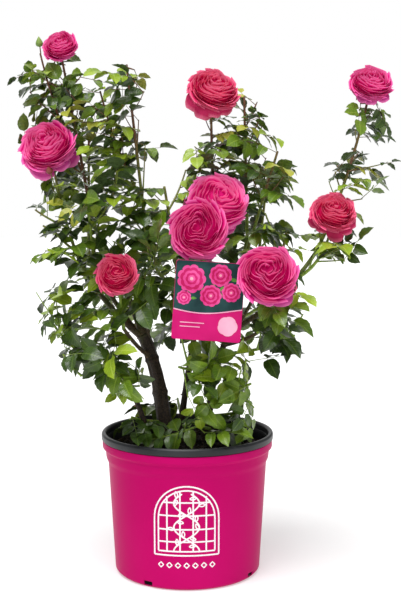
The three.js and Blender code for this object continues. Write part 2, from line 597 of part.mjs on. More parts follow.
const solids = [...limbs.values()].map(({ sleeve }) => ({ solid: sleeve, axis: null, shoot: null }));
const middles = [];
for (const shoot of SHOOTS) {
  shoot.spots = [];
  for (const axis of [shoot.stem, ...shoot.leaders, ...shoot.twigs]) {
    const rings = axis === shoot.stem ? 4 : 2;
    axis.leaves = 0;
    solids.push({ solid: limbSolid(axis.curve, axis.radii, { sides: 3, rings }), axis, shoot });
    const steps = Math.max(1, Math.round(axis.curve.getLength() * (1 - LEAF_FIRST) / LEAF_SPACING));
    for (let step = 0; step < steps; step += 1) {
      const t = LEAF_FIRST + (1 - LEAF_FIRST) * (step + 0.8) / steps;
      const key = shoot.key + 0.37 * axes.indexOf(axis);
      const size = (0.85 + 0.3 * chance(key, step, 5)) * (axis === shoot.stem ? 1.12 - 0.4 * t : 1);
      shoot.spots.push({ axis, t, size, phase: FULL_TURN * chance(key, step, 6) });
    }
  }
  const bloom = blooms.find(({ owner }) => owner === shoot);
  if (bloom) solids.push({ solid: bloomSolid(bloom), axis: shoot.stem, shoot });
}
for (let round = 0; SHOOTS.some(({ spots }) => spots.length > round); round += 1) {
  for (const shoot of SHOOTS) {
    if (shoot.spots[round]) growLeaf(shoot, shoot.spots[round]);
  }
}

/** Bloom of three nested lobed cups, low and open outside, high and closed inside. */
function bloomSolid({ centre, faces, radius, owner }) {
  const cups = [
    { sides: 10, lobes: 5, turn: 0, profile: [[0, -0.5], [0.55, -0.4], [1, 0.06], [0, -0.1]] },
    { sides: 8, lobes: 4, turn: 0.6, profile: [[0, -0.3], [0.74, -0.02], [0.72, 0.3], [0, 0.12]] },
    { sides: 6, lobes: 3, turn: 0.3, profile: [[0, -0.1], [0.46, 0.1], [0.34, 0.48], [0, 0.42]] },
  ];
  const lean = new THREE.Quaternion().setFromUnitVectors(new THREE.Vector3(0, 1, 0), faces);
  let whole = null;
  for (const [index, { sides, lobes, turn, profile }] of cups.entries()) {
    const points = profile.map(([r, h]) => new THREE.Vector2(r * radius, h * radius));
    const geometry = new THREE.LatheGeometry(points, sides);
    const spot = geometry.attributes.position;
    for (let i = 0; i < spot.count; i += 1) {
      const round = Math.atan2(spot.getX(i), spot.getZ(i));
      const lobe = 1 + 0.07 * Math.cos(lobes * round + owner.key + index);
      spot.setXYZ(i, spot.getX(i) * lobe, spot.getY(i) * lobe, spot.getZ(i) * lobe);
    }
    geometry.rotateY(turn);
    geometry.applyQuaternion(lean);
    geometry.translate(centre.x, centre.y, centre.z);
    whole = whole ? whole.add(solidOf(geometry)) : solidOf(geometry);
  }
  return whole;
}

for (const shoot of SHOOTS) {
  const bare = (axis) => axis && axis.leaves === 0 && shoot.twigs.includes(axis);
  const parts = solids.filter((item) => item.shoot === shoot && !bare(item.axis)).map(({ solid }) => solid);
  let mass = parts.reduce((whole, part) => whole.add(part));
  for (const { sleeve } of limbs.values()) mass = mass.subtract(sleeve);
  addNode(shoot.name, mass, 0x47762c, 0.6);
}

export default bush;
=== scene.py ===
"""Looks of a shrub rose in bloom, growing in its three-gallon nursery pot with a plant tag."""

import math

import bpy
import numpy as np
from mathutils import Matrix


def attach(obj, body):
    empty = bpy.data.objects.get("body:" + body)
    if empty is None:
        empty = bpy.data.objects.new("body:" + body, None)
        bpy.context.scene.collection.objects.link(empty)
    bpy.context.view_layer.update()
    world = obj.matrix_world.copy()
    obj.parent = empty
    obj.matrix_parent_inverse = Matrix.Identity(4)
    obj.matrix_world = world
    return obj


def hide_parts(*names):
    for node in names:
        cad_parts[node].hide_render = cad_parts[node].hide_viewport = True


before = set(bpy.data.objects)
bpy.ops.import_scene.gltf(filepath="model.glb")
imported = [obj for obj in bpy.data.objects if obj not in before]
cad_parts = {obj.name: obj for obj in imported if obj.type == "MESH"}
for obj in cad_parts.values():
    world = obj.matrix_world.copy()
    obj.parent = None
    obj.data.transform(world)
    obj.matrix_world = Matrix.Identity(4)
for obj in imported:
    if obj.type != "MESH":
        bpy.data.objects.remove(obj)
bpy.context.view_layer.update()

# ============================================================ nursery pot
# Blow-moulded container of pink plastic with a black layer inside and a rolled black lip. It stands
# on its flat underside, has a stepped collar to grip it by, and four drain notches at its foot.
POT_COLUMNS = 216
POT_OUTSIDE = [
    (0.0, 0.0), (0.060, 0.0), (0.1135, 0.0), (0.1185, 0.005), (0.1188, 0.009), (0.129, 0.180),
    (0.1325, 0.188), (0.1337, 0.201), (0.1385, 0.205), (0.1385, 0.2165),
]
POT_SHELL = POT_OUTSIDE + [(0.1363, 0.2165), (0.1363, 0.207), (0.1303, 0.202), (0.1268, 0.181),
                           (0.1143, 0.0022), (0.0, 0.0022)]
LIP_SECTION = [
    (0.1330, 0.2172), (0.1398, 0.2172), (0.1400, 0.2260), (0.1380, 0.2290), (0.1345, 0.2290),
    (0.1322, 0.2262), (0.1310, 0.2120), (0.1296, 0.1960), (0.1282, 0.1960), (0.1300, 0.2120),
    (0.1312, 0.2180),
]
DRAIN_FIRST_DEG = -121.0
DRAIN_HALF_DEG = 3.9
DRAIN_TOP = 0.0106
DRAIN_INNER = 0.1148
FIRST_WALL_ROW = 17
DRAIN_ROWS = [[0.11890, 0.0104], [0.11892, 0.0108], [0.11904, 0.0128], [0.11964, 0.0230]]


def put_piece(name, points, faces, material, uv=None, smooth=True, attributes=None):
    """New mesh object from arrays: points (n, 3), faces a list of (m, 3) or (m, 4) index arrays,
    uv one pair for each point, attributes a dict of one number for each point."""
    mesh = bpy.data.meshes.new(name)
    faces = [f for f in faces if len(f)]
    corners = np.concatenate([f.ravel() for f in faces]).astype(np.int32)
    sizes = np.concatenate([np.full(len(f), f.shape[1]) for f in faces]).astype(np.int32)
    mesh.vertices.add(len(points))
    mesh.vertices.foreach_set("co", np.asarray(points, np.float32).ravel())
    mesh.loops.add(len(corners))
    mesh.loops.foreach_set("vertex_index", corners)
    mesh.polygons.add(len(sizes))
    starts = np.concatenate([[0], np.cumsum(sizes)[:-1]]).astype(np.int32)
    mesh.polygons.foreach_set("loop_start", starts)
    mesh.polygons.foreach_set("use_smooth", np.full(len(sizes), smooth))
    if uv is not None:
        layer = mesh.uv_layers.new(name="UVMap")
        layer.data.foreach_set("uv", np.asarray(uv, np.float32)[corners].ravel())
    for key, values in (attributes or {}).items():
        layer = mesh.attributes.new(key, "FLOAT", "POINT")
        layer.data.foreach_set("value", np.asarray(values, np.float32))
    mesh.update(calc_edges=True)
    mesh.validate()
    piece = bpy.data.objects.new(name, mesh)
    bpy.context.scene.collection.objects.link(piece)
    mesh.materials.append(material)
    return piece


def softened(profile, share=0.28, steps=4):
    """Profile with each corner replaced by a short quadratic arc that starts and ends at `share` of
    the shorter side that meets there, at most 2.5 mm from the corner."""
    profile = np.asarray(profile, float)
    done = [profile[:1]]
    for before, corner, after in zip(profile[:-2], profile[1:-1], profile[2:]):
        sides = [before - corner, after - corner]
        lengths = [np.linalg.norm(side) for side in sides]
        cut = min(0.0025, share * min(lengths))
        start, end = (corner + side / length * cut for side, length in zip(sides, lengths))
        t = np.linspace(0, 1, steps)[:, None]
        done.append((1 - t) ** 2 * start + 2 * t * (1 - t) * corner + t ** 2 * end)
    done.append(profile[-1:])
    return np.concatenate(done)


def quads_of(rows, columns, round_rows=False, round_columns=False, flipped=False):
    """Quads of a grid of points given row by row. A round direction joins its end to its start. Each
    quad goes along the rows first, or along the columns when flipped, so that it faces out."""
    a = np.arange(rows if round_rows else rows - 1)[:, None]
    b = np.arange(columns if round_columns else columns - 1)[None]
    next_a, next_b = (a + 1) % rows, (b + 1) % columns
    corners = [a * columns + b, next_a * columns + b, next_a * columns + next_b,
               a * columns + next_b]
    if flipped:
        corners[1], corners[3] = corners[3], corners[1]
    return np.stack(corners, axis=-1).reshape(-1, 4)


def turned(profile, angles, closed):
    """Points and faces of a profile (radius, height) carried round the z axis through the given
    angles: x = r cos a, y = r sin a. A closed profile joins its last point to its first."""
    radius, height = profile[:, 0], profile[:, 1]
    grid = np.stack([radius[None] * np.cos(angles)[:, None], radius[None] * np.sin(angles)[:, None],
                     np.broadcast_to(height, (len(angles), len(height)))], axis=-1)
    return grid.reshape(-1, 3), quads_of(len(angles), len(profile), True, closed)


def shader_group(name, inputs, outputs):
    """Empty shader node group with named float inputs and named outputs."""
    group = bpy.data.node_groups.new(name, "ShaderNodeTree")
    for label, value in inputs.items():
        socket = group.interface.new_socket(label, in_out="INPUT", socket_type="NodeSocketFloat")
        socket.default_value = value
    for label, kind in outputs.items():
        group.interface.new_socket(label, in_out="OUTPUT", socket_type=kind)
    return group, group.nodes.new("NodeGroupInput"), group.nodes.new("NodeGroupOutput")


def mottle_group():
    """Uneven patches and fine grain over object coordinates: a mask of broad patches, a mask of
    small specks and a height made of both."""
    group, given, out = shader_group(
        "uneven_surface", {"Patch size": 8.0, "Grain size": 90.0},
        {"Patches": "NodeSocketFloat", "Specks": "NodeSocketFloat", "Height": "NodeSocketFloat"})
    place = group.nodes.new("ShaderNodeTexCoord")
    broad = group.nodes.new("ShaderNodeTexNoise")
    fine = group.nodes.new("ShaderNodeTexNoise")
    blend = group.nodes.new("ShaderNodeMath")
    blend.operation = "MULTIPLY_ADD"
    blend.inputs[1].default_value = 0.35
    broad.inputs["Detail"].default_value = 3.0
    fine.inputs["Detail"].default_value = 4.0
    link = group.links.new
    link(place.outputs["Object"], broad.inputs["Vector"])
    link(place.outputs["Object"], fine.inputs["Vector"])
    link(given.outputs["Patch size"], broad.inputs["Scale"])
    link(given.outputs["Grain size"], fine.inputs["Scale"])
    link(broad.outputs["Fac"], blend.inputs[0])
    link(fine.outputs["Fac"], blend.inputs[2])
    link(broad.outputs["Fac"], out.inputs["Patches"])
    link(fine.outputs["Fac"], out.inputs["Specks"])
    link(blend.outputs[0], out.inputs["Height"])
    return group


uneven_surface = mottle_group()


def new_material(name, roughness, coat=0.0, specular=0.5):
    """Material with a Principled shader, its constant values set on the shader's own sockets."""
    material = bpy.data.materials.new(name)
    material.use_nodes = True
    shader = material.node_tree.nodes["Principled BSDF"]
    shader.inputs["Roughness"].default_value = roughness
    shader.inputs["Specular IOR Level"].default_value = specular
    shader.inputs["Coat Weight"].default_value = coat
    return material, shader


def add_mottle(material, patch_size, grain_size):
    """Places the uneven-surface group in a material with its own scales."""
    node = material.node_tree.nodes.new("ShaderNodeGroup")
    node.node_tree = uneven_surface
    node.inputs["Patch size"].default_value = patch_size
    node.inputs["Grain size"].default_value = grain_size
    return node


def mix_colours(material, factor, first, second, low=0.0, high=1.0):
    """Colour between two colours or sockets, by a factor socket stretched from low..high to 0..1."""
    nodes, link = material.node_tree.nodes, material.node_tree.links.new
    reach = nodes.new("ShaderNodeMapRange")
    reach.inputs["From Min"].default_value = low
    reach.inputs["From Max"].default_value = high
    mix = nodes.new("ShaderNodeMix")
    mix.data_type = "RGBA"
    link(factor, reach.inputs["Value"])
    link(reach.outputs["Result"], mix.inputs["Factor"])
    for colour, socket in ((first, mix.inputs["A"]), (second, mix.inputs["B"])):
        if isinstance(colour, tuple):
            socket.default_value = (*colour, 1.0)
        else:
            link(colour, socket)
    return mix.outputs["Result"]


def add_bump(material, shader, height, strength, distance):
    """Bump node between a height socket and the shader's normal."""
    bump = material.node_tree.nodes.new("ShaderNodeBump")
    bump.inputs["Strength"].default_value = strength
    bump.inputs["Distance"].default_value = distance
    material.node_tree.links.new(height, bump.inputs["Height"])
    material.node_tree.links.new(bump.outputs["Normal"], shader.inputs["Normal"])


def two_tone(name, roughness, specular, sizes, first, second, span=(0.35, 0.65), mask="Patches",
             relief=None):
    """Opaque material that wanders between two tones by the patches or specks of the uneven
    surface, stretched over a span of that mask. A relief is the strength and depth of its specks."""
    material, shader = new_material(name, roughness, specular=specular)
    mottle = add_mottle(material, *sizes)
    tone = mix_colours(material, mottle.outputs[mask], first, second, *span)
    material.node_tree.links.new(tone, shader.inputs["Base Color"])
    if relief:
        add_bump(material, shader, mottle.outputs["Specks"], *relief)
    return material


def own_number(material, label):
    """Socket of a number that each point of a piece carries under that label."""
    node = material.node_tree.nodes.new("ShaderNodeAttribute")
    node.attribute_name = label
    return node.outputs["Fac"]


def pot_plastic():
    """Satin pink plastic, a little uneven in gloss, black where a drain notch cuts into it: the
    black inner layer, with the shade in the drain opening painted in as near black.
    """
    material, shader = new_material("pot_plastic", 0.36, specular=0.03)
    mottle = add_mottle(material, 5.0, 220.0)
    pink = mix_colours(material, mottle.outputs["Patches"], (0.47, 0.0018, 0.112),
                       (0.53, 0.0034, 0.132), 0.3, 0.7)
    # Near black in the drain notches: the black inner layer, with the shade of the drain opening
    # painted in.
    whole = mix_colours(material, own_number(material, "notch"), pink, (0.006, 0.004, 0.005),
                        0.3, 0.8)
    material.node_tree.links.new(whole, shader.inputs["Base Color"])
    add_bump(material, shader, mottle.outputs["Specks"], 0.05, 0.0006)
    return material


def black_plastic():
    """Black plastic with a dull bloom from handling."""
    return two_tone("black_plastic", 0.40, 0.30, (14.0, 260.0), (0.008, 0.009, 0.011),
                    (0.035, 0.037, 0.042), (0.35, 0.75), relief=(0.08, 0.0006))


drain_middles = np.radians(DRAIN_FIRST_DEG + 90.0 * np.arange(4))
drain_edges = (drain_middles[:, None]
               + np.radians(DRAIN_HALF_DEG) * np.array([-1.02, -0.98, 0.98, 1.02]))
pot_angles = np.unique(np.round(np.concatenate([
    np.linspace(-math.pi, math.pi, POT_COLUMNS, endpoint=False),
    (drain_edges.ravel() + math.pi) % (2 * math.pi) - math.pi]), 7))
shell_profile = np.insert(softened(POT_SHELL), FIRST_WALL_ROW, DRAIN_ROWS, axis=0)
shell_points, shell_faces = turned(shell_profile, pot_angles, closed=False)
pot_around = np.arctan2(shell_points[:, 1], shell_points[:, 0])
from_drains = (pot_around[:, None] - drain_middles + math.pi) % (2 * math.pi) - math.pi
nearest = np.abs(from_drains).min(axis=1)
pot_radius = np.hypot(shell_points[:, 0], shell_points[:, 1])
in_notch = ((nearest < np.radians(DRAIN_HALF_DEG)) & (shell_points[:, 2] < DRAIN_TOP)
            & (pot_radius > DRAIN_INNER + 0.0003))
shell_points[in_notch, :2] *= (DRAIN_INNER / pot_radius[in_notch])[:, None]
pot_shell = put_piece("pot_shell", shell_points, [shell_faces], pot_plastic(),
                      attributes={"notch": in_notch.astype(float)})
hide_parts("pot_wall")
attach(pot_shell, "root")

lip_profile = softened(LIP_SECTION + LIP_SECTION[:1])[:-1]
lip_points, lip_faces = turned(lip_profile, pot_angles, closed=True)
pot_rim = put_piece("pot_rim", lip_points, [lip_faces], black_plastic())
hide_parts("pot_lip")
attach(pot_rim, "root")

# ============================================================ print on the pot's front
# White screen print of a garden trellis with a pair of leafy shoots under a round arch, and a row of
# small lozenges below. It is a film of ink that lies on the curved wall.
PRINT_LINE = 0.0024
PRINT_HALF_WIDTH = 0.051
PRINT_FOOT = 0.058
PRINT_SHOULDER = 0.118
PRINT_INSET = 0.0065
PRINT_LIFT = 0.0003
PRINT_SINK = 0.0002
PRINT_LEAF_LENGTH, PRINT_LEAF_SWELL, PRINT_LEAF_LINE = 0.0105, 0.0022, 0.0019
LOZENGE_HEIGHT, LOZENGE_HALF, LOZENGE_STEP, LOZENGE_LINE = 0.042, 0.0042, 0.0135, 0.0018


def unit(vectors):
    """Vectors scaled to length 1."""
    return vectors / np.linalg.norm(vectors, axis=-1, keepdims=True)


def on_pot(x, z):
    """Point on the pot's front for a flat drawing: x is the way round from the front, z the height,
    and the radius grows evenly from foot to collar. Also gives the outward direction."""
    low, high = POT_OUTSIDE[4:6]
    radius = low[0] + (high[0] - low[0]) * (z - low[1]) / (high[1] - low[1])
    around = x / radius - math.pi / 2
    out = np.stack([np.cos(around), np.sin(around), np.zeros_like(around)], axis=-1)
    return out * radius[..., None] + np.stack([0 * z, 0 * z, z], axis=-1), out


def ink_line(path, width, samples):
    """Closed thin band along a drawn line: the path is sampled evenly, set off to both sides by half
    the width, wrapped on the pot and given a top a little above the wall and a foot just inside."""
    path = np.asarray(path, float)
    steps = np.concatenate([[0], np.cumsum(np.linalg.norm(np.diff(path, axis=0), axis=1))])
    t = np.linspace(0, steps[-1], samples)
    line = np.stack([np.interp(t, steps, path[:, k]) for k in (0, 1)], axis=-1)
    along = unit(np.gradient(line, axis=0))
    across = np.stack([-along[:, 1], along[:, 0]], axis=-1) * width / 2
    rows = []
    for side, lift in ((1, PRINT_LIFT), (-1, PRINT_LIFT), (-1, -PRINT_SINK), (1, -PRINT_SINK)):
        wall, out = on_pot(*(line + side * across).T)
        rows.append(wall + out * lift)
    points = np.stack(rows, axis=1).reshape(-1, 3)
    ends = np.array([[0, 1, 2, 3], 4 * samples - np.arange(1, 5)])
    return points, np.concatenate([quads_of(samples, 4, round_columns=True), ends])


def joined(shapes):
    """Many (points, faces) pairs as one, with the face numbers moved on."""
    offsets = np.cumsum([0] + [len(points) for points, _ in shapes[:-1]])
    return (np.concatenate([points for points, _ in shapes]),
            np.concatenate([faces + offset for (_, faces), offset in zip(shapes, offsets)]))


def printed_trellis():
    """Strokes of the print: two arches with their sills, bars and rails that end at the inner arch,
    two shoots that climb in a wave with leaves to both sides, and lozenges."""
    curved, straight, leaf_edges = [], [], []
    turn = np.linspace(0, math.pi, 25)
    for inset in (0.0, PRINT_INSET):
        half, foot = PRINT_HALF_WIDTH - inset, PRINT_FOOT + inset
        arch = np.stack([half * np.cos(turn), PRINT_SHOULDER + half * np.sin(turn)], axis=-1)
        curved.append(np.concatenate([[[half, foot]], arch, [[-half, foot]]]))
        straight.append([[-half, foot], [half, foot]])
    for share in (-0.6, -0.2, 0.2, 0.6):
        x = share * PRINT_HALF_WIDTH
        top = PRINT_SHOULDER + math.sqrt(1 - share ** 2) * (PRINT_HALF_WIDTH - 0.0075)
        straight.append([[x, PRINT_FOOT + PRINT_INSET], [x, top]])
    for z in (0.080, 0.100, 0.122, 0.143):
        half = PRINT_HALF_WIDTH - PRINT_INSET
        reach = math.sqrt(half ** 2 - max(0.0, z - PRINT_SHOULDER) ** 2)
        straight.append([[-reach, z], [reach, z]])
    rise = np.linspace(0, 1, 30)
    share = np.linspace(0, 1, 9)[:, None]
    for side in (-1, 1):
        shoot = np.stack([side * 0.020 * np.cos(rise * 7.5), PRINT_FOOT + 0.007 + 0.092 * rise],
                         axis=-1)
        curved.append(shoot)
        for k in range(3, 29, 4):
            along = unit(shoot[k + 1] - shoot[k - 1])
            out = np.array([-along[1], along[0]]) * (1 if k % 8 == 3 else -1)
            way = 0.6 * along + 0.8 * out
            swell = np.sin(math.pi * share) * PRINT_LEAF_SWELL * np.array([-way[1], way[0]])
            rib = shoot[k] + share * way * PRINT_LEAF_LENGTH
            leaf_edges += [rib + swell, rib - swell]
    lozenge = np.array([[-1, 0], [0, 1], [1, 0], [0, -1], [-1, 0]]) * LOZENGE_HALF
    lozenges = [lozenge + [LOZENGE_STEP * k, LOZENGE_HEIGHT] for k in range(-3, 4)]
    return joined([ink_line(path, width, samples) for paths, width, samples in (
        (curved, PRINT_LINE, 40), (straight, PRINT_LINE, 12), (leaf_edges, PRINT_LEAF_LINE, 12),
        (lozenges, LOZENGE_LINE, 17)) for path in paths])


def white_ink():
    """Matt white ink, slightly thin in places."""
    return two_tone("white_ink", 0.5, 0.5, (30.0, 500.0), (0.80, 0.74, 0.78), (0.93, 0.90, 0.92),
                    (0.3, 0.6), mask="Specks")


ink_points, ink_faces = printed_trellis()
pot_print = put_piece("pot_print", ink_points, [ink_faces], white_ink(), smooth=False)
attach(pot_print, "root")

# ============================================================ potting mix
# Dark moist mix of bark chips and peat, filled to 24 mm under the lip. The chips lie loose on an
# uneven surface.
SOIL_LEVEL = 0.205
SOIL_FOOT = 0.0026
SOIL_RADIUS = 0.1285
SOIL_RINGS, SOIL_COLUMNS = 56, 200
CHIP_COUNT = 1500


def chance(a, b, c):
    """Number from 0 to 1 that depends on nothing but its three keys: the fraction of a sine wave
    that runs over them fast."""
    wave = np.sin(a * 12.9898 + b * 78.233 + c * 37.719) * 43758.5453
    return wave - np.floor(wave)


def soil_height(x, y):
    """Level of the mix: low mounds of a few waves, raised towards the stems."""
    waves = (np.sin(61 * x + 2.0 * np.sin(47 * y)) * np.sin(53 * y + 1.0) * 0.0022
             + np.sin(190 * x + 1.3) * np.sin(173 * y + 40 * x) * 0.0013
             + np.sin(410 * x + 90 * y) * np.sin(377 * y) * 0.0006)
    mound = 0.006 * np.exp(-((x + 0.01) ** 2 + y ** 2) / 0.004)
    return SOIL_LEVEL - 0.003 + waves + mound


def soil_surface():
    """Polar grid: radius grows evenly from the axis to the wall, height by soil_height, with a skirt
    down the wall and a flat foot that close it."""
    radius = np.linspace(0.0, SOIL_RADIUS, SOIL_RINGS)[1:]
    angles = np.linspace(0, 2 * math.pi, SOIL_COLUMNS, endpoint=False)
    x = radius[None] * np.cos(angles)[:, None]
    y = radius[None] * np.sin(angles)[:, None]
    top = np.stack([x, y, soil_height(x, y)], axis=-1)
    foot = top[:, -1:] * np.array([0.88, 0.88, 0.0]) + np.array([0, 0, SOIL_FOOT])
    grid = np.concatenate([top, foot], axis=1)
    poles = np.array([[0, 0, float(soil_height(0.0, 0.0))], [0, 0, SOIL_FOOT]])
    ring = np.arange(SOIL_COLUMNS) * SOIL_RINGS
    after, pole = np.roll(ring, -1), np.full(SOIL_COLUMNS, SOIL_COLUMNS * SOIL_RINGS)
    caps = np.concatenate([
        np.stack([pole, ring, after], axis=-1),
        np.stack([pole + 1, after + SOIL_RINGS - 1, ring + SOIL_RINGS - 1], axis=-1)])
    quads = quads_of(SOIL_COLUMNS, SOIL_RINGS, round_rows=True, flipped=True)
    return np.concatenate([grid.reshape(-1, 3), poles]), [quads, caps]


CHIP_CORNERS = np.array([[-1, -1, -1], [1, -1, -1], [1, 1, -1], [-1, 1, -1],
                         [-1, -1, 1], [1, -1, 1], [1, 1, 1], [-1, 1, 1]], float)
CHIP_FACES = np.array([[0, 3, 2, 1], [4, 5, 6, 7], [0, 1, 5, 4], [1, 2, 6, 5], [2, 3, 7, 6],
                       [3, 0, 4, 7]])


def repeated(faces, size, count):
    """Faces of one shape again for each of `count` shapes of `size` points."""
    return (faces[None] + size * np.arange(count)[:, None, None]).reshape(-1, faces.shape[1])


def turned_axes(key, tilt):
    """Three square directions for each key: turned about z at random and tilted by up to `tilt`."""
    spin = 2 * math.pi * chance(key, 1.0, 2.0)
    lean = tilt * (chance(key, 3.0, 4.0) - 0.5) * 2
    roll = tilt * (chance(key, 5.0, 6.0) - 0.5) * 2
    first = np.stack([np.cos(spin) * np.cos(lean), np.sin(spin) * np.cos(lean), np.sin(lean)],
                     axis=-1)
    second = np.stack([-np.sin(spin), np.cos(spin), np.sin(roll)], axis=-1)
    second = unit(second - first * (first * second).sum(-1, keepdims=True))
    return first, second, np.cross(first, second)


def bark_chips():
    """Loose chips: boxes with every corner moved at random, 4 to 15 mm long, laid on the mix."""
    key = np.arange(CHIP_COUNT, dtype=float)
    radius = (SOIL_RADIUS - 0.007) * np.sqrt(chance(key, 0.3, 7.0))
    around = 2 * math.pi * chance(key, 0.7, 8.0)
    x, y = radius * np.cos(around), radius * np.sin(around)
    length = 0.0018 + 0.0058 * chance(key, 1.1, 9.0) ** 2.0
    size = np.stack([length, length * (0.35 + 0.4 * chance(key, 1.2, 9.5)),
                     0.0007 + 0.0014 * chance(key, 1.3, 9.7)], axis=-1)
    ragged = 0.72 + 0.45 * chance(key[:, None, None], np.arange(8)[None, :, None] + 2.1,
                                  np.arange(3)[None, None] + 3.3)
    corners = CHIP_CORNERS[None] * ragged * size[:, None]
    axes = turned_axes(key, 0.55)
    placed = sum(corners[..., k, None] * axes[k][:, None] for k in range(3))
    lift = soil_height(x, y) + 0.001 + 0.0016 * chance(key, 1.4, 9.9)
    placed += np.stack([x, y, lift], axis=-1)[:, None]
    tone = np.repeat(chance(key, 4.4, 5.5), 8)
    return placed.reshape(-1, 3), repeated(CHIP_FACES, 8, CHIP_COUNT), tone


def potting_mix(name, dark, light, by_chip):
    """Moist peat or bark: dark crumbs with paler fibres, dull all over."""
    material, shader = new_material(name, 0.92, specular=0.25)
    mottle = add_mottle(material, 120.0, 900.0)
    tone = mix_colours(material, mottle.outputs["Specks"], dark, light, 0.42, 0.72)
    if by_chip:
        tone = mix_colours(material, own_number(material, "tone"), tone, (0.075, 0.048, 0.030),
                           0.72, 1.05)
    material.node_tree.links.new(tone, shader.inputs["Base Color"])
    add_bump(material, shader, mottle.outputs["Height"], 0.7, 0.0025)
    return material


soil_points, soil_faces = soil_surface()
soil_bed = put_piece("soil_bed", soil_points, soil_faces,
                     potting_mix("moist_peat", (0.006, 0.005, 0.004), (0.028, 0.020, 0.014), False))
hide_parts("soil")
chip_points, chip_faces, chip_tone = bark_chips()
soil_chips = put_piece("soil_chips", chip_points, [chip_faces],
                       potting_mix("bark_chips", (0.010, 0.008, 0.006),
                                   (0.040, 0.028, 0.019), True),
                       smooth=False, attributes={"tone": chip_tone})
for piece in (soil_bed, soil_chips):
    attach(piece, "root")

# ============================================================ canes and boughs
# Five canes rise from the mix, brown and furrowed below, green higher up, and fork into twelve
# boughs. Each is one limb that thins from foot to tip along a curve.

# name, foot on the mix, tip, sweep, radii at foot and tip
CANES = [
    ("main_cane", (-33, -10), (-71, -10, 387), 0.3, (12, 9.5)),
    ("left_cane", (-58, -36), (-104, -64, 334), 0.35, (4.5, 3.4)),
    ("centre_cane", (-14, 20), (25, 0, 443), 0.4, (5.2, 4)),
    ("right_cane", (30, 12), (77, 0, 402), 0.25, (5.6, 4.4)),
    ("green_cane", (38, -32), (36, -100, 532), 0.35, (3.2, 2.4)),
]
# name, parent, share of its length, tip, sweep, radii
BOUGHS = [
    ("bough_top_left", "main_cane", 1, (-152, 10, 565), 0.45, (5.6, 4)),
    ("bough_far_left", "main_cane", 0.93, (-168, -42, 505), 0.6, (4.8, 3.5)),
    ("bough_left_back", "main_cane", 0.85, (-165, 62, 505), 0.55, (4.4, 3.2)),
    ("bough_inner_left", "main_cane", 0.89, (-60, -24, 510), 0.7, (4, 3)),
    ("bough_front_left", "main_cane", 0.72, (-98, -72, 405), 0.6, (3.5, 2.7)),
    ("bough_centre_top", "centre_cane", 1, (42, 14, 590), 0.4, (3.8, 3)),
    ("bough_centre_left", "centre_cane", 0.8, (-16, -20, 490), 0.6, (3.5, 2.6)),
    ("bough_back_centre", "centre_cane", 0.66, (14, 76, 440), 0.6, (3.4, 2.6)),
    ("bough_right_upper", "right_cane", 1, (98, 32, 540), 0.4, (4, 3)),
    ("bough_far_right", "right_cane", 0.9, (204, -40, 524), 0.62, (4, 3)),
    ("bough_front_right", "right_cane", 0.74, (110, -82, 400), 0.6, (3.4, 2.6)),
    ("bough_back_right", "right_cane", 0.8, (112, 88, 440), 0.6, (3.6, 2.8)),
]
CANE_FOOT_MM = 205.3
UP = np.array([0.0, 0.0, 1.0])


class Stalk:
    """Limb, stem or twig: a quadratic curve from its foot to its tip, its radius falling evenly. A
    small sweep climbs first and leans out later. Lengths are in millimetres."""

    def __init__(self, foot, tip, sweep, radii, owner=None):
        foot, tip = np.asarray(foot, float), np.asarray(tip, float)
        span = tip - foot
        self.ends = (foot, foot + span * np.array([sweep, sweep, 1 - sweep]), tip)
        self.radii, self.owner = radii, owner
        self.beads = self.at(np.linspace(0, 1, 9))
        walked = np.diff(self.at(np.linspace(0, 1, 60)), axis=0)
        self.length = float(np.linalg.norm(walked, axis=1).sum())

    def at(self, t):
        """Point (1-t)^2 A + 2t(1-t) B + t^2 C."""
        t = np.asarray(t, float)[..., None]
        a, b, c = self.ends
        return (1 - t) ** 2 * a + 2 * t * (1 - t) * b + t ** 2 * c

    def along(self, t):
        """Unit direction of the curve."""
        t = np.asarray(t, float)[..., None]
        a, b, c = self.ends
        return unit(2 * (1 - t) * (b - a) + 2 * t * (c - b))

    def thick(self, t):
        """Radius at t."""
        return self.radii[0] + (self.radii[1] - self.radii[0]) * np.asarray(t, float)

    def up_to(self, t):
        """The same curve and taper, cut off at t."""
        radii = (self.radii[0], float(self.thick(t)))
        part = Stalk(self.ends[0], self.at(t), 0.5, radii, self.owner)
        part.ends = (self.ends[0], self.ends[0] + (self.ends[1] - self.ends[0]) * t, self.at(t))
        part.length = self.length * t
        return part


def square_to(along):
    """Two unit directions square to a limb's direction and to each other."""
    side = unit(np.cross(along, np.array([0.31, 0.95, 0.0])))
    return side, np.cross(along, side)


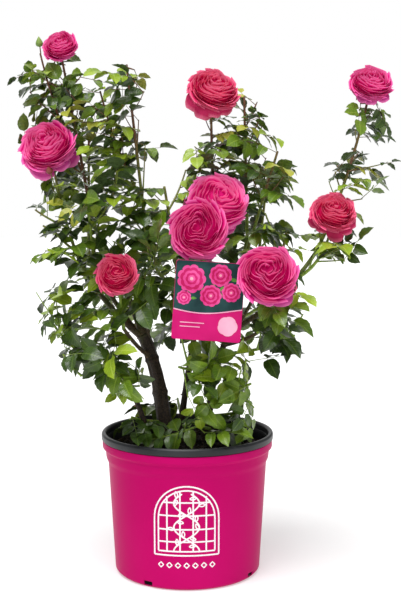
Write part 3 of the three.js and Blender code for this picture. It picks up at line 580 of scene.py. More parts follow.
def tube(stalk, sides, rings, relief=0.0, key=0.0, flare=0.0, sink=0.0, stout=1.0):
    """Closed tube along a stalk in metres: each ring is a circle square to the curve whose radius
    takes long furrows (waves round the limb) and knots (waves along it), a flare at the foot and a
    rounded tip. `sink` starts it deeper and `stout` makes all of it thicker."""
    t = np.linspace(0, 1, rings + 1)
    along = stalk.along(t)
    side, other = square_to(along)
    turn = np.linspace(0, 2 * math.pi, sides, endpoint=False)
    height = t * stalk.length
    furrow = (np.sin(5 * turn[None] + 1.5 * np.sin(height[:, None] / 23 + key))
              + 0.6 * np.sin(9 * turn[None] + height[:, None] / 17 + 2 * key)
              + 0.5 * np.sin(3 * turn[None] - height[:, None] / 31))
    knots = np.exp(-(((height + 29 * key) % 57 - 28) / 3.5) ** 2)
    radius = stout * stalk.thick(t)[:, None] * (1 + relief * (0.09 * furrow + 0.14 * knots[:, None])
                                        + flare * np.exp(-height / 14)[:, None])
    centre = stalk.at(t)
    centre[0] = centre[0] - along[0] * sink
    ring = centre[:, None] + radius[..., None] * (np.cos(turn)[None, :, None] * side[:, None]
                                                  + np.sin(turn)[None, :, None] * other[:, None])
    top = centre[-1:] + along[-1:] * stalk.radii[1] * 0.6
    points = np.concatenate([ring.reshape(-1, 3), centre[:1], top])
    b, last = np.arange(sides), rings * sides
    following = (b + 1) % sides
    caps = np.concatenate([
        np.stack([np.full(sides, last + sides), following, b], axis=-1),
        np.stack([np.full(sides, last + sides + 1), last + b, last + following], axis=-1)])
    quads = quads_of(rings + 1, sides, round_columns=True, flipped=True)
    return points / 1000, quads, caps


def joined_tubes(tubes):
    """Many tubes as one set of points, quads and triangles."""
    points, quads = joined([(part[0], part[1]) for part in tubes])
    return points, [quads, joined([(part[0], part[2]) for part in tubes])[1]]


def by_height(material, patches, share, lower, upper, low, high):
    """Colour that goes from a lower to an upper tone between two heights in metres, to which a share
    of the patches is added, so that the change has no level edge."""
    nodes, link = material.node_tree.nodes, material.node_tree.links.new
    place = nodes.new("ShaderNodeTexCoord")
    split = nodes.new("ShaderNodeSeparateXYZ")
    drawn = nodes.new("ShaderNodeMath")
    drawn.operation = "MULTIPLY_ADD"
    drawn.inputs[1].default_value = share
    link(place.outputs["Object"], split.inputs[0])
    link(patches, drawn.inputs[0])
    link(split.outputs["Z"], drawn.inputs[2])
    return mix_colours(material, drawn.outputs[0], lower, upper, low, high)


def cane_bark(name, brown_to, green_from, browns, greens):
    """Bark that is brown and cracked low down and smooth and green above, by height, with the change
    drawn out by broad patches."""
    material, shader = new_material(name, 0.62, specular=0.35)
    mottle = add_mottle(material, 45.0, 420.0)
    patches = mottle.outputs["Patches"]
    brown = mix_colours(material, mottle.outputs["Specks"], *browns, 0.38, 0.66)
    green = mix_colours(material, patches, *greens, 0.35, 0.65)
    tone = by_height(material, patches, 0.16, brown, green, brown_to, green_from)
    material.node_tree.links.new(tone, shader.inputs["Base Color"])
    add_bump(material, shader, mottle.outputs["Height"], 0.5, 0.0016)
    return material


limbs = {}
cane_tubes, bough_tubes = [], []
for number, (name, foot, tip, sweep, radii) in enumerate(CANES):
    limbs[name] = Stalk((*foot, CANE_FOOT_MM), tip, sweep, radii)
    sides = 28 if name == "main_cane" else 18
    furrows = 0.35 if name == "green_cane" else 1.0
    cane_tubes.append(tube(limbs[name], sides, 110, furrows, number + 0.4, 0.45, 14.0))
for number, (name, parent, at, tip, sweep, radii) in enumerate(BOUGHS):
    limbs[name] = Stalk(limbs[parent].at(at), tip, sweep, radii)
    bough_tubes.append(tube(limbs[name], 14, 60, 0.7, number + 0.8, 0.35))
wood_points, wood_faces = joined_tubes(cane_tubes)
canes = put_piece("rose_canes", wood_points, wood_faces, cane_bark(
    "cane_bark", 0.46, 0.62, ((0.010, 0.006, 0.004), (0.054, 0.032, 0.018)),
    ((0.09, 0.13, 0.030), (0.17, 0.20, 0.055))))
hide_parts(*[cane[0] for cane in CANES])
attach(canes, "root")
bough_points, bough_faces = joined_tubes(bough_tubes)
boughs = put_piece("rose_boughs", bough_points, bough_faces, cane_bark(
    "bough_bark", 0.48, 0.62, ((0.030, 0.020, 0.011), (0.120, 0.082, 0.040)),
    ((0.10, 0.17, 0.030), (0.21, 0.27, 0.070))))
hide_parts(*[bough[0] for bough in BOUGHS])
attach(boughs, "root")

# ============================================================ plant tag
# Printed card of stiff plastic, a little tilted, that hangs on a strap round the green cane. The
# picture side shows plain round blossoms on dark green over a pink band.
TAG_PLACE = (0.033, -0.150, 0.456)
TAG_WIDTH, TAG_HEIGHT, TAG_THICK, TAG_CORNER, TAG_TURN_DEG = 0.103, 0.118, 0.0012, 0.004, 4.0
TAG_MARGIN = 0.0006
STRAP_HEIGHT_MM = 503.0


def on_tag(flat, lift):
    """Points on the tag's face for a flat drawing in pairs, to the right and up from its middle,
    `lift` towards the viewer, the whole turned clockwise in its own plane."""
    turn = math.radians(TAG_TURN_DEG)
    x, z = np.asarray(flat, float).T
    return np.stack([TAG_PLACE[0] + x * math.cos(turn) + z * math.sin(turn),
                     np.full_like(x, TAG_PLACE[1] - TAG_THICK - lift),
                     TAG_PLACE[2] - x * math.sin(turn) + z * math.cos(turn)], axis=-1)


def slab(outline, front, back):
    """Closed flat plate: an outline drawn anticlockwise, filled as a fan from its middle, with a
    front and a back face and a rim between them."""
    outline = np.asarray(outline, float)
    flat = np.concatenate([outline, outline.mean(axis=0, keepdims=True)])
    count = len(outline)
    points = np.concatenate([on_tag(flat, front), on_tag(flat, back)])
    k, following = np.arange(count), (np.arange(count) + 1) % count
    fan = np.stack([np.full(count, count), k, following], axis=-1)
    rear = np.stack([np.full(count, 2 * count + 1), following + count + 1, k + count + 1], axis=-1)
    first = np.stack([k, k + count + 1, following + count + 1], axis=-1)
    second = np.stack([k, following + count + 1, following], axis=-1)
    return points, np.concatenate([fan, rear, first, second])


def strip(upper, lower, front, back):
    """Closed plate between an upper and a lower edge of as many points, both drawn left to right."""
    count = len(upper)
    flat = np.concatenate([upper, lower])
    points = np.concatenate([on_tag(flat, front), on_tag(flat, back)])
    k = np.arange(count - 1)
    face = np.stack([k, k + count, k + count + 1, k + 1], axis=-1)
    rear = face[:, ::-1] + 2 * count
    above = np.stack([k, k + 1, k + 1 + 2 * count, k + 2 * count], axis=-1)
    below = np.stack([k + count + 1, k + count, k + 3 * count, k + 3 * count + 1], axis=-1)
    ends = np.array([[0, 2 * count, 3 * count, count],
                     [count - 1, 2 * count - 1, 4 * count - 1, 3 * count - 1]])
    quads = np.concatenate([face, rear, above, below, ends])
    return points, np.concatenate([quads[:, :3], quads[:, [0, 2, 3]]])


def round_card(width, height, corner):
    """Rectangle with round corners, anticlockwise."""
    turn = np.linspace(0, math.pi / 2, 7)
    corners = []
    for quarter, (sx, sz) in enumerate(((1, 1), (-1, 1), (-1, -1), (1, -1))):
        angle = turn + quarter * math.pi / 2
        corners.append(np.stack([sx * (width / 2 - corner) + corner * np.cos(angle),
                                 sz * (height / 2 - corner) + corner * np.sin(angle)], axis=-1))
    return np.concatenate(corners)


def blossom(x, z, size, petals, wave, key):
    """Round flat flower: the radius is 1 + wave * |cos| of the petal count round its middle."""
    turn = np.linspace(0, 2 * math.pi, 72, endpoint=False)
    radius = size * (1 - wave + wave * np.abs(np.cos(petals * turn / 2 + key)) ** 0.6)
    return np.stack([x + radius * np.cos(turn), z + radius * np.sin(turn)], axis=-1)


def leaf_shape(x, z, length, width, turn_deg):
    """Flat pointed leaf from its foot at x, z."""
    s = np.concatenate([np.linspace(0, 1, 13), np.linspace(1, 0, 13)[1:-1]])
    side = np.concatenate([-np.ones(13), np.ones(11)])
    across = side * width / 2 * np.sin(math.pi * s ** 0.8)
    turn = math.radians(turn_deg)
    return np.stack([x + s * length * math.cos(turn) - across * math.sin(turn),
                     z + s * length * math.sin(turn) + across * math.cos(turn)], axis=-1)


def printed_plastic(name, first, second, roughness=0.32):
    """Glossy printed card in one ink, with slight unevenness."""
    return two_tone(name, roughness, 0.12, (38.0, 300.0), first, second, relief=(0.03, 0.0004))


# blossoms by middle and radius, their whorls by share of the radius and petals, rules by height
# and length
TAG_BLOSSOMS = [(-0.0270, 0.032, 0.0215), (0.0155, 0.0395, 0.0170), (0.0330, 0.0150, 0.0145),
                (0.0030, 0.0085, 0.0165), (-0.0365, 0.0035, 0.0110)]
TAG_WHORLS = [(1.0, 9), (0.80, 8), (0.60, 7), (0.42, 6), (0.26, 5)]
TAG_RULES = [(-0.034, 0.036), (-0.040, 0.030)]
TAG_RULE_LEFT, TAG_RULE_THICK = -0.040, 0.0014


def tag_pieces():
    """Card and its printed fields, each a thin plate a hair in front of the one below."""
    half_width, half_height = TAG_WIDTH / 2 - TAG_MARGIN, TAG_HEIGHT / 2 - TAG_MARGIN
    x = half_width * np.sin(np.linspace(-math.pi / 2, math.pi / 2, 41))
    into_corner = np.clip(np.abs(x) - half_width + TAG_CORNER, 0, None)
    top_edge = half_height - TAG_CORNER + np.sqrt(TAG_CORNER ** 2 - into_corner ** 2)
    band_edge = -0.0115 - 0.0060 * np.cos(x / half_width * 1.7 + 0.35)
    top, band, under = (np.stack([x, z], axis=-1)
                        for z in (top_edge, band_edge, band_edge - 0.0017))
    picture, line = strip(top, band, 0.0003, 0.0), strip(band, under, 0.0005, 0.0)
    flowers, hearts, middles, sprigs = [], [], [], []
    for number, (x0, z0, size) in enumerate(TAG_BLOSSOMS):
        for ring, (share, petals) in enumerate(TAG_WHORLS):
            plate = slab(blossom(x0, z0, size * share, petals, 0.14, number + 0.9 * ring),
                         0.0006 + 0.0001 * ring, 0.0003)
            (flowers, hearts)[ring % 2].append(plate)
        middles.append(slab(blossom(x0, z0, size * 0.12, 5, 0.1, number), 0.0012, 0.0008))
        for turn_deg in (200 + 40 * number, 320 + 25 * number, 75 + 60 * number):
            turn = math.radians(turn_deg)
            leaf_length = 0.5 * size + 0.004
            shape = leaf_shape(x0 + 0.9 * size * math.cos(turn), z0 + 0.9 * size * math.sin(turn),
                               leaf_length, 0.45 * leaf_length, turn_deg)
            on_width = np.abs(shape[:, 0]) < half_width
            if on_width.all() and (np.abs(shape[:, 1] - 0.026) < 0.030).all():
                sprigs.append(slab(shape, 0.0005, 0.0003))
    pale = [line, slab(blossom(0.031, -0.0355, 0.0150, 5, 0.10, 0.3), 0.0005, 0.0001)]
    for z, reach in TAG_RULES:
        left, right, top = TAG_RULE_LEFT, TAG_RULE_LEFT + reach, z + TAG_RULE_THICK
        pale.append(slab([[left, z], [right, z], [right, top], [left, top]], 0.0005, 0.0001))
    return picture, flowers, hearts, middles, sprigs, pale


def tag_strap():
    """Flat strap: from the card's back to a ring that goes once round the green cane."""
    cane = limbs["green_cane"]
    t = np.linspace(0, 1, 400)
    t = t[np.argmin(np.abs(cane.at(t)[:, 2] - STRAP_HEIGHT_MM))]
    centre, along, radius = cane.at(t) / 1000, cane.along(t), cane.thick(t) / 1000
    side = unit(np.cross(along, [0.0, 1.0, 0.0]))
    other = np.cross(along, side)
    turn = np.linspace(0, 2 * math.pi, 33)[:-1]
    way = np.cos(turn)[:, None] * side + np.sin(turn)[:, None] * other
    near, far, half = radius + 0.0004, radius + 0.0014, 0.0022
    section = [(near, -half), (far, -half), (far, half), (near, half)]
    ring = np.stack([centre + way * r + along * h for r, h in section], axis=1).reshape(-1, 3)
    front = TAG_PLACE[1] - TAG_THICK * 0.5
    arm = CHIP_CORNERS * np.array([0.0005, (centre[1] - far - front) / 2 + 0.0004, half])
    arm = arm + np.array([centre[0], (centre[1] - far + front) / 2, centre[2]])
    return joined([(ring, quads_of(len(turn), 4, True, True)), (arm, CHIP_FACES)])


picture, flowers, hearts, centres, sprigs, pale_marks = tag_pieces()
card_points, card_faces = slab(round_card(TAG_WIDTH, TAG_HEIGHT, TAG_CORNER), 0.0, -TAG_THICK)
plant_tag = put_piece("plant_tag", card_points, [card_faces], printed_plastic(
    "tag_pink", (0.54, 0.004, 0.135), (0.60, 0.008, 0.160)), smooth=False)
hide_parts("hang_tag")
for name, shapes, first, second in (
        ("tag_picture", [picture], (0.010, 0.034, 0.036), (0.022, 0.070, 0.070)),
        ("tag_sprigs", sprigs, (0.06, 0.20, 0.03), (0.14, 0.33, 0.06)),
        ("tag_blossoms", flowers, (0.62, 0.03, 0.20), (0.80, 0.10, 0.34)),
        ("tag_blossom_hearts", hearts, (0.42, 0.005, 0.075), (0.62, 0.02, 0.16)),
        ("tag_blossom_middles", centres, (0.75, 0.30, 0.38), (0.85, 0.42, 0.50)),
        ("tag_pale_marks", pale_marks, (0.78, 0.32, 0.48), (0.86, 0.44, 0.58))):
    shape_points, shape_faces = joined(shapes)
    mark = put_piece(name, shape_points, [shape_faces],
                     printed_plastic(name + "_ink", first, second), smooth=False)
    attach(mark, "root")
strap_points, strap_faces = tag_strap()
strap = put_piece("tag_strap", strap_points, [strap_faces], printed_plastic(
    "strap_plastic", (0.55, 0.012, 0.16), (0.62, 0.02, 0.20), 0.4), smooth=False)
for piece in (plant_tag, strap):
    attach(piece, "root")

# ============================================================ shoots of the crown
# From the boughs grow the leafy shoots: a stem each, side stems, twigs by a seeded rule, one finer
# twig every 44 mm, and a few listed one by one. The wood is young and green, flushed red with
# height.

# name, parent, share of its length, tip, sweep, number of twigs, their reach, side stems as share
# and tip, and the bloom as radius, way it faces, tint and number of guard petals
SHOOTS = [
    ("leaves_far_left", "bough_far_left", 1, (-212, -26, 664), 0.6, 2, 62,
     [(0.15, (-208, -60, 560))], (47, (-0.25, -0.75, 0.6), "pink", 5)),
    ("leaves_top_left", "bough_top_left", 1, (-200, 10, 832), 0.5, 0, 50,
     [(0.3, (-236, 26, 838))], (28, (-0.1, -0.6, 0.8), "pink", 0)),
    ("leaves_inner_left", "bough_inner_left", 1, (-95, -20, 820), 0.5, 0, 52,
     [(0.3, (-138, 0, 776))], None),
    ("leaves_front_left", "bough_front_left", 1, (-104, -102, 480), 0.5, 2, 66,
     [], (35, (-0.1, -0.9, 0.4), "coral", 0)),
    ("leaves_left_front", "bough_far_left", 0.7, (-150, -100, 606), 0.55, 2, 58, [], None),
    ("leaves_low_left", "left_cane", 1, (-212, -84, 424), 0.7, 2, 60,
     [(0.15, (-176, -96, 330))], None),
    ("leaves_low_left_inner", "left_cane", 0.7, (-128, -112, 372), 0.6, 1, 46,
     [(0.2, (-72, -112, 322))], None),
    ("leaves_back_left", "bough_left_back", 1, (-168, 118, 735), 0.45, 1, 66,
     [(0.3, (-96, 120, 690))], None),
    ("leaves_back_left_low", "bough_left_back", 0.35, (-119, 142, 478), 0.6, 1, 60,
     [], (36, (-0.1, 0.8, 0.6), "pink", 4)),
    ("leaves_centre_top", "bough_centre_top", 1, (38, 8, 752), 0.5, 0, 55,
     [], (43, (0.2, -0.6, 0.75), "coral", 5)),
    ("leaves_centre_upper", "bough_centre_top", 0.45, (46, -42, 584), 0.6, 0, 50,
     [], (47, (0.15, -0.8, 0.6), "rose", 2)),
    ("leaves_centre_left", "bough_centre_left", 1, (-42, -30, 660), 0.45, 1, 60, [], None),
    ("leaves_centre_front", "bough_centre_left", 0.6, (-58, -108, 520), 0.6, 2, 55, [], None),
    ("leaves_back_centre", "bough_back_centre", 1, (34, 138, 566), 0.5, 2, 66,
     [], (44, (0.1, 0.7, 0.7), "pink", 5)),
    ("leaves_front_centre", "green_cane", 1, (20, -112, 564), 0.5, 0, 50,
     [], (47, (-0.1, -0.95, 0.15), "pink", 4)),
    ("leaves_low_centre", "green_cane", 0.34, (-12, -104, 350), 0.7, 1, 50,
     [(0.4, (22, -116, 318))], None),
    ("leaves_right_upper", "bough_right_upper", 1, (92, 30, 770), 0.5, 0, 55, [], None),
    ("leaves_right_middle", "bough_right_upper", 0.6, (142, -36, 680), 0.5, 1, 60, [], None),
    ("leaves_front_right", "bough_front_right", 1, (120, -154, 480), 0.6, 2, 60,
     [], (44, (-0.05, -0.9, 0.4), "pink", 3)),
    ("leaves_far_right", "bough_far_right", 1, (290, 0, 775), 0.6, 0, 50,
     [], (37, (0, -0.7, 0.7), "pink", 3)),
    ("leaves_right_bloom", "bough_far_right", 0.72, (226, -60, 566), 0.75, 1, 50,
     [], (38, (0, -0.7, 0.7), "coral", 5)),
    ("leaves_right_inner", "bough_far_right", 0.45, (160, -16, 565), 0.5, 2, 60, [], None),
    ("leaves_low_right", "right_cane", 0.64, (170, -50, 392), 0.7, 2, 52, [], None),
    ("leaves_low_right_front", "green_cane", 0.24, (100, -80, 320), 0.7, 2, 45, [], None),
    ("leaves_back_right", "bough_back_right", 1, (136, 128, 640), 0.5, 2, 66, [], None),
    ("leaves_back_right_low", "bough_back_right", 0.55, (150, 140, 446), 0.7, 2, 60,
     [], (40, (0.2, 0.75, 0.6), "coral", 3)),
    ("leaves_basal_left", "main_cane", 0.16, (-88, -56, 262), 0.6, 0, 35, [], None),
    ("leaves_basal_centre", "green_cane", 0.08, (6, -84, 262), 0.6, 0, 35, [], None),
    ("leaves_basal_right", "right_cane", 0.16, (92, -14, 264), 0.6, 0, 35, [], None),
    ("leaves_basal_back", "centre_cane", 0.15, (-18, 92, 264), 0.6, 0, 35, [], None),
]
STEM_RADII, LEADER_RADII, TWIG_RADII, FINE_RADII = (2.4, 1.5), (2.0, 1.2), (1.6, 1.0), (1.0, 0.7)
SIDE_RADII = (1.5, 0.8)
TWIG_TRIALS, TWIG_RISE, TWIG_LIFT, TWIG_MARGIN, TWIGS_APART = 6, math.radians(35), 0.2, 7.0, 13.0
SIDE_SWEEP, HAND_SET_SWEEP, TURN_SHARE = 0.6, 0.55, 0.382
SHOOT_STOUT = 1.25
FINE_STEP, FINE_BARE, FINE_REACH = 44.0, 40, 30.0
FINE_RISE, FINE_LIFT, FINE_MARGIN = math.radians(40), 0.25, 3.0
# height, and how far the crown reaches to the left, right, front and back
CROWN = np.array([
    [215, 128, 128, 126], [300, 165, 145, 150], [400, 262, 215, 205], [500, 242, 250, 215],
    [610, 262, 300, 220], [660, 292, 336, 215], [800, 292, 330, 190], [850, 250, 320, 140],
    [880, 225, 320, 120]], float)
# open sky: from x, to x, above this height
SKY = [(-66, -4, 690), (158, 216, 600), (-10, 60, 830), (110, 200, 745)]
# height, and how far leaves reach to the left and right
LEAF_REACH = np.array([
    [215, 125, 122], [250, 120, 114], [270, 108, 110], [300, 140, 110], [330, 160, 112],
    [345, 192, 122], [356, 204, 168], [365, 205, 184], [385, 208, 192], [420, 238, 198],
    [460, 252, 212], [500, 238, 276], [540, 238, 286], [590, 252, 290], [610, 238, 300],
    [640, 240, 330], [655, 242, 336], [664, 302, 336], [690, 302, 336], [697, 262, 336],
    [745, 270, 336], [782, 272, 336], [787, 300, 336], [806, 300, 336], [812, 264, 334],
    [850, 250, 332], [880, 240, 326]], float)
# gaps between shoots: from x, to x, from height, to height
LEAF_GAPS = [
    (-58, -14, 714, 900), (-64, -10, 630, 672), (130, 190, 567, 600), (176, 192, 530, 660),
    (150, 262, 688, 728), (150, 226, 670, 690), (134, 238, 728, 752), (118, 238, 752, 780),
    (84, 246, 780, 900), (330, 346, 690, 745), (-280, -222, 822, 900), (46, 76, 262, 300),
    (104, 136, 522, 543), (116, 160, 668, 682), (296, 346, 668, 700), (-250, -202, 478, 508),
    (-250, -202, 571, 592), (-150, -112, 806, 830), (-112, -58, 819, 830), (-34, -4, 305, 360),
    (182, 230, 468, 520), (-150, -58, 828, 900), (-178, -150, 832, 900), (-140, -68, 258, 298)]
CANE_VIEW = (-47, -8, 262, 400, -10)
CANE_VIEW_LEAN = 0.22
MIX_TOP, POT_TOP, POT_WALL = 205, 229, 130.3
TAG_MIDDLE, TAG_HALVES, TAG_FRONT, TAG_AIR = (33, 456), (51.5, 59), -150, 6
STRAP_HALF, STRAP_HALF_HEIGHT, STRAP_BACK = 10, 5, -90


def clearances(points, stalks):
    """Distance from each point to the surface of each stalk, by its beads, as (points, stalks)."""
    beads = np.stack([stalk.beads for stalk in stalks])
    radii = np.stack([stalk.thick(np.linspace(0, 1, 9)) for stalk in stalks])[:, :-1]
    start, span = beads[:, :-1], np.diff(beads, axis=1)
    offset = points[:, None, None] - start[None]
    share = np.clip((offset * span).sum(-1) / (span ** 2).sum(-1), 0, 1)
    gap = np.linalg.norm(offset - share[..., None] * span, axis=-1) - radii
    return gap.min(axis=-1)


def in_crown(points, openings):
    """True within the crown's reach at each height and outside the open sky between shoots."""
    x, y, z = points.T
    left, right, deep = (np.interp(z, CROWN[:, 0], CROWN[:, k]) for k in (1, 2, 3))
    inside = (z > CROWN[0, 0]) & (z < CROWN[-1, 0]) & (x > -left) & (x < right) & (np.abs(y) < deep)
    for low, high, above in openings:
        inside &= ~((x > low) & (x < high) & (z > above))
    return inside


def is_leafy(points):
    """True where fine twigs and leaves may stand: within the narrower reach at each height, outside
    the gaps between shoots and not before the bare canes, whose left edge leans out with height."""
    x, y, z = points.T
    left, right = (np.interp(z, LEAF_REACH[:, 0], LEAF_REACH[:, k]) for k in (1, 2))
    leafy = (x > -left) & (x < right)
    for x_low, x_high, z_low, z_high in LEAF_GAPS:
        leafy &= ~((x > x_low) & (x < x_high) & (z > z_low) & (z < z_high))
    x_low, x_high, z_low, z_high, front = CANE_VIEW
    left_edge = x_low - CANE_VIEW_LEAN * (z - z_low)
    return leafy & ~((x > left_edge) & (x < x_high) & (z > z_low) & (z < z_high) & (y < front))


def is_free(points, margin, bloom_share=1.0, openings=SKY):
    """True inside the crown and clear by a margin of mix, pot, tag, strap, limbs and blooms, each
    bloom a ball with an open view before it, both the way it faces and level."""
    x, y, z = points.T
    free = in_crown(points, openings) & (z > MIX_TOP + margin)
    free &= ~((z < POT_TOP + margin) & (np.hypot(x, y) > POT_WALL - margin))
    beside = np.abs(x - TAG_MIDDLE[0]) < TAG_HALVES[0] + TAG_AIR + margin
    level = np.abs(z - TAG_MIDDLE[1]) < TAG_HALVES[1] + TAG_AIR + margin
    free &= ~(beside & level & (y < TAG_FRONT + TAG_AIR + margin))
    strap_side = (np.abs(x - TAG_MIDDLE[0]) < STRAP_HALF + margin) & (y < STRAP_BACK)
    free &= ~(strap_side & (np.abs(z - STRAP_HEIGHT_MM) < STRAP_HALF_HEIGHT + margin))
    for _, centre, faces, radius, _, _ in blooms:
        offset = points - centre
        free &= np.linalg.norm(offset, axis=-1) > bloom_share * radius + margin
        for view in (faces, unit(faces * np.array([1.0, 1.0, 0.0]))):
            before = (offset * view).sum(-1)
            aside = np.linalg.norm(offset - before[:, None] * view, axis=-1)
            free &= ~((before > 0) & (before < 3.5 * radius) & (aside < 1.02 * radius + margin))
    return free & (clearances(points, list(limbs.values())) > margin).all(axis=1)


def leaving(along, turn, rise):
    """Unit directions that leave a stem at an angle round it and a rise above square to it."""
    side, other = square_to(along)
    turn, rise = np.asarray(turn, float)[..., None], np.asarray(rise, float)[..., None]
    out = side * np.cos(turn) + other * np.sin(turn)
    return out * np.cos(rise) + along * np.sin(rise)


def twig_off(axis, t, turn, rise, reach, lift, radii):
    """Twig of a given reach that leaves a stem at t and is lifted by a share of its reach."""
    start = axis.at(t)
    tip = start + leaving(axis.along(t), turn, rise) * reach + UP * lift * reach
    return Stalk(start, tip, SIDE_SWEEP, radii, axis.owner)


def side_twig(key, t, goal):
    """Finer twig given in a list, from a shoot's stem at t to its goal."""
    return Stalk(shoots[key - 1]["stem"].at(t), goal, HAND_SET_SWEEP, SIDE_RADII, key)


blooms, axes, shoots = [], [], []
for number, (name, parent, at, tip, sweep, twig_count, reach, leaders, bloom) in enumerate(SHOOTS):
    key = number + 1
    stem = Stalk(limbs[parent].at(at), tip, sweep, STEM_RADII, key)
    sides = [Stalk(stem.at(t), goal, SIDE_SWEEP, LEADER_RADII, key) for t, goal in leaders]
    axes += [stem, *sides]
    shoots.append({"key": key, "stem": stem, "leaders": sides, "count": twig_count, "reach": reach})
    if bloom:
        size, faces, tint, guards = bloom
        faces = unit(np.array(faces, float))
        blooms.append((key, stem.at(1.0) + faces * 0.5 * size, faces, size, tint, guards))

for shoot in shoots:
    carriers = [shoot["stem"], *shoot["leaders"]]
    others = [axis for axis in axes if axis.owner != shoot["key"]]
    shoot["twigs"] = []
    for k in range(shoot["count"]):
        t = 0.25 + 0.6 * (k + 0.5) / shoot["count"]
        reach = shoot["reach"] * (0.85 + 0.4 * chance(shoot["key"], k, 1))
        for trial in range(TWIG_TRIALS):
            turn = 2 * math.pi * (chance(shoot["key"], k, 2) + k * TURN_SHARE + trial / TWIG_TRIALS)
            twig = twig_off(carriers[k % len(carriers)], t, turn, TWIG_RISE, reach, TWIG_LIFT,
                            TWIG_RADII)
            if (is_free(twig.beads[3:], TWIG_MARGIN).all()
                    and (clearances(twig.beads[3:], others) > TWIGS_APART).all()):
                axes.append(twig)
                shoot["twigs"].append(twig)
                break

# number of the shoot, share of its stem, tip
SIDE_TWIGS = [
    (6, 0.45, (-234, -70, 462)), (6, 0.62, (-196, -110, 400)), (2, 0.55, (-252, 14, 776)),
    (2, 0.30, (-250, 20, 704)), (1, 0.62, (-234, 4, 664)), (2, 0.80, (-168, 0, 800)),
    (3, 0.80, (-78, -18, 786)), (3, 0.55, (-76, -20, 730)), (7, 0.30, (-112, -90, 408)),
    (4, 0.30, (-130, -100, 424)), (7, 0.75, (-88, -100, 356)), (16, 0.80, (2, -118, 306)),
    (16, 0.50, (4, -112, 334)), (14, 0.10, (-22, 72, 408)), (27, 0.70, (-70, -86, 240)),
    (27, 0.90, (-104, -46, 250)), (28, 0.50, (-16, -98, 244)), (28, 0.80, (28, -100, 246)),
    (29, 0.60, (98, -42, 242)), (12, 0.25, (-96, -40, 568)), (14, 0.06, (-14, 62, 394)),
    (10, 0.35, (68, -20, 668)), (10, 0.50, (12, -24, 688)), (10, 0.20, (14, -10, 640)),
    (10, 0.70, (64, 4, 712)), (21, 0.50, (256, -66, 540)), (21, 0.85, (254, -40, 584)),
    (3, 0.12, (-102, -44, 604)), (9, 0.25, (-62, 92, 392)), (13, 0.20, (-44, -36, 436)),
    (22, 0.90, (176, -30, 548)), (17, 0.50, (122, 4, 730)), (17, 0.25, (128, 34, 672)),
    (18, 0.60, (160, -20, 650)), (3, 0.30, (-66, -18, 692)), (21, 0.45, (244, -74, 512)),
    (20, 0.55, (306, -10, 660)), (20, 0.42, (236, -4, 650)), (20, 0.94, (300, -8, 756)),
    (20, 0.94, (274, -8, 756)), (1, 0.90, (-256, -4, 674)), (2, 0.78, (-250, 16, 812)),
    (24, 0.85, (98, -92, 290)), (24, 0.55, (84, -100, 350)), (17, 0.78, (112, 8, 760)),
    (17, 0.62, (118, 0, 742)), (7, 0.90, (-66, -104, 300)), (13, 0.60, (-10, -60, 505)),
    (5, 0.40, (-216, -92, 528)), (12, 0.50, (-30, 30, 590)), (22, 0.40, (190, -30, 500)),
    (14, 0.50, (44, 150, 470)),
]
FILLING_TWIGS = [
    (21, 0.50, (262, -70, 500)), (6, 0.80, (-204, -70, 468)), (20, 0.35, (278, -20, 606)),
    (13, 0.30, (-34, -60, 490)), (13, 0.45, (-52, -60, 496)), (12, 0.10, (-46, 10, 530)),
    (12, 0.22, (-124, -30, 562)), (21, 0.25, (200, -70, 532)), (3, 0.97, (-82, -14, 808)),
    (14, 0.20, (-40, 70, 490)), (9, 0.30, (-90, 100, 440)),
]
fine_twigs = [side_twig(*entry) for entry in SIDE_TWIGS]
for shoot in shoots:
    for order, axis in enumerate([shoot["stem"], *shoot["leaders"], *shoot["twigs"]]):
        steps = int((axis.length - FINE_BARE) / FINE_STEP)
        for step in range(steps):
            key = shoot["key"] + 0.61 * order
            t = 0.3 + 0.6 * (step + 0.5) / steps
            turn = 2 * math.pi * (chance(key, step, 21) + step * TURN_SHARE)
            reach = FINE_REACH * (0.7 + 0.6 * chance(key, step, 22))
            twig = twig_off(axis, t, turn, FINE_RISE, reach, FINE_LIFT, FINE_RADII)
            outer = twig.beads[3:]
            if is_free(outer, FINE_MARGIN, openings=()).all() and is_leafy(outer).all():
                fine_twigs.append(twig)
fine_twigs += [side_twig(*entry) for entry in FILLING_TWIGS]


def young_wood():
    """Smooth young shoots: yellow-green low down, flushed red-brown by height and in patches."""
    material, shader = new_material("young_wood", 0.42, specular=0.35)
    mottle = add_mottle(material, 16.0, 300.0)
    green, red = (mix_colours(material, mottle.outputs["Specks"], first, second, 0.35, 0.65)
                  for first, second in (((0.13, 0.24, 0.030), (0.29, 0.39, 0.06)),
                                        ((0.085, 0.040, 0.018), (0.190, 0.075, 0.035))))
    tone = by_height(material, mottle.outputs["Patches"], 0.50, green, red, 0.74, 0.96)
    material.node_tree.links.new(tone, shader.inputs["Base Color"])
    add_bump(material, shader, mottle.outputs["Specks"], 0.2, 0.0006)
    return material


# ============================================================ leaves
# Compound leaves of five or three toothed leaflets on a thin stalk. They sit round each stem and
# twig, rise from the upper shoots and hang, face outwards, in the lower crown. Four tints of green,
# shaded to lit copies of one leaf green, are dealt out by spray: partly at random, partly as painted
# shade and light by where the leaf sits in the crown. The shoots are drawn here, as far as they hold
# up a leaf or a bloom.
LEAF_SPACING = 21.0
LEAF_FIRST, FINE_FIRST = 0.2, 0.35
LEAF_TRIALS = 7
STALK_LENGTH = 46.0
LEAFLET_LENGTH = 29.0
LEAFLET_WIDTH = 21.5
LEAFLET_ROWS = 10
LEAF_APART = 17.0
LEAF_SMALLER = 0.72
LEAF_MARGIN, LEAF_IN_BLOOM = 1.5, 0.86
PAIR_BACK = 0.36
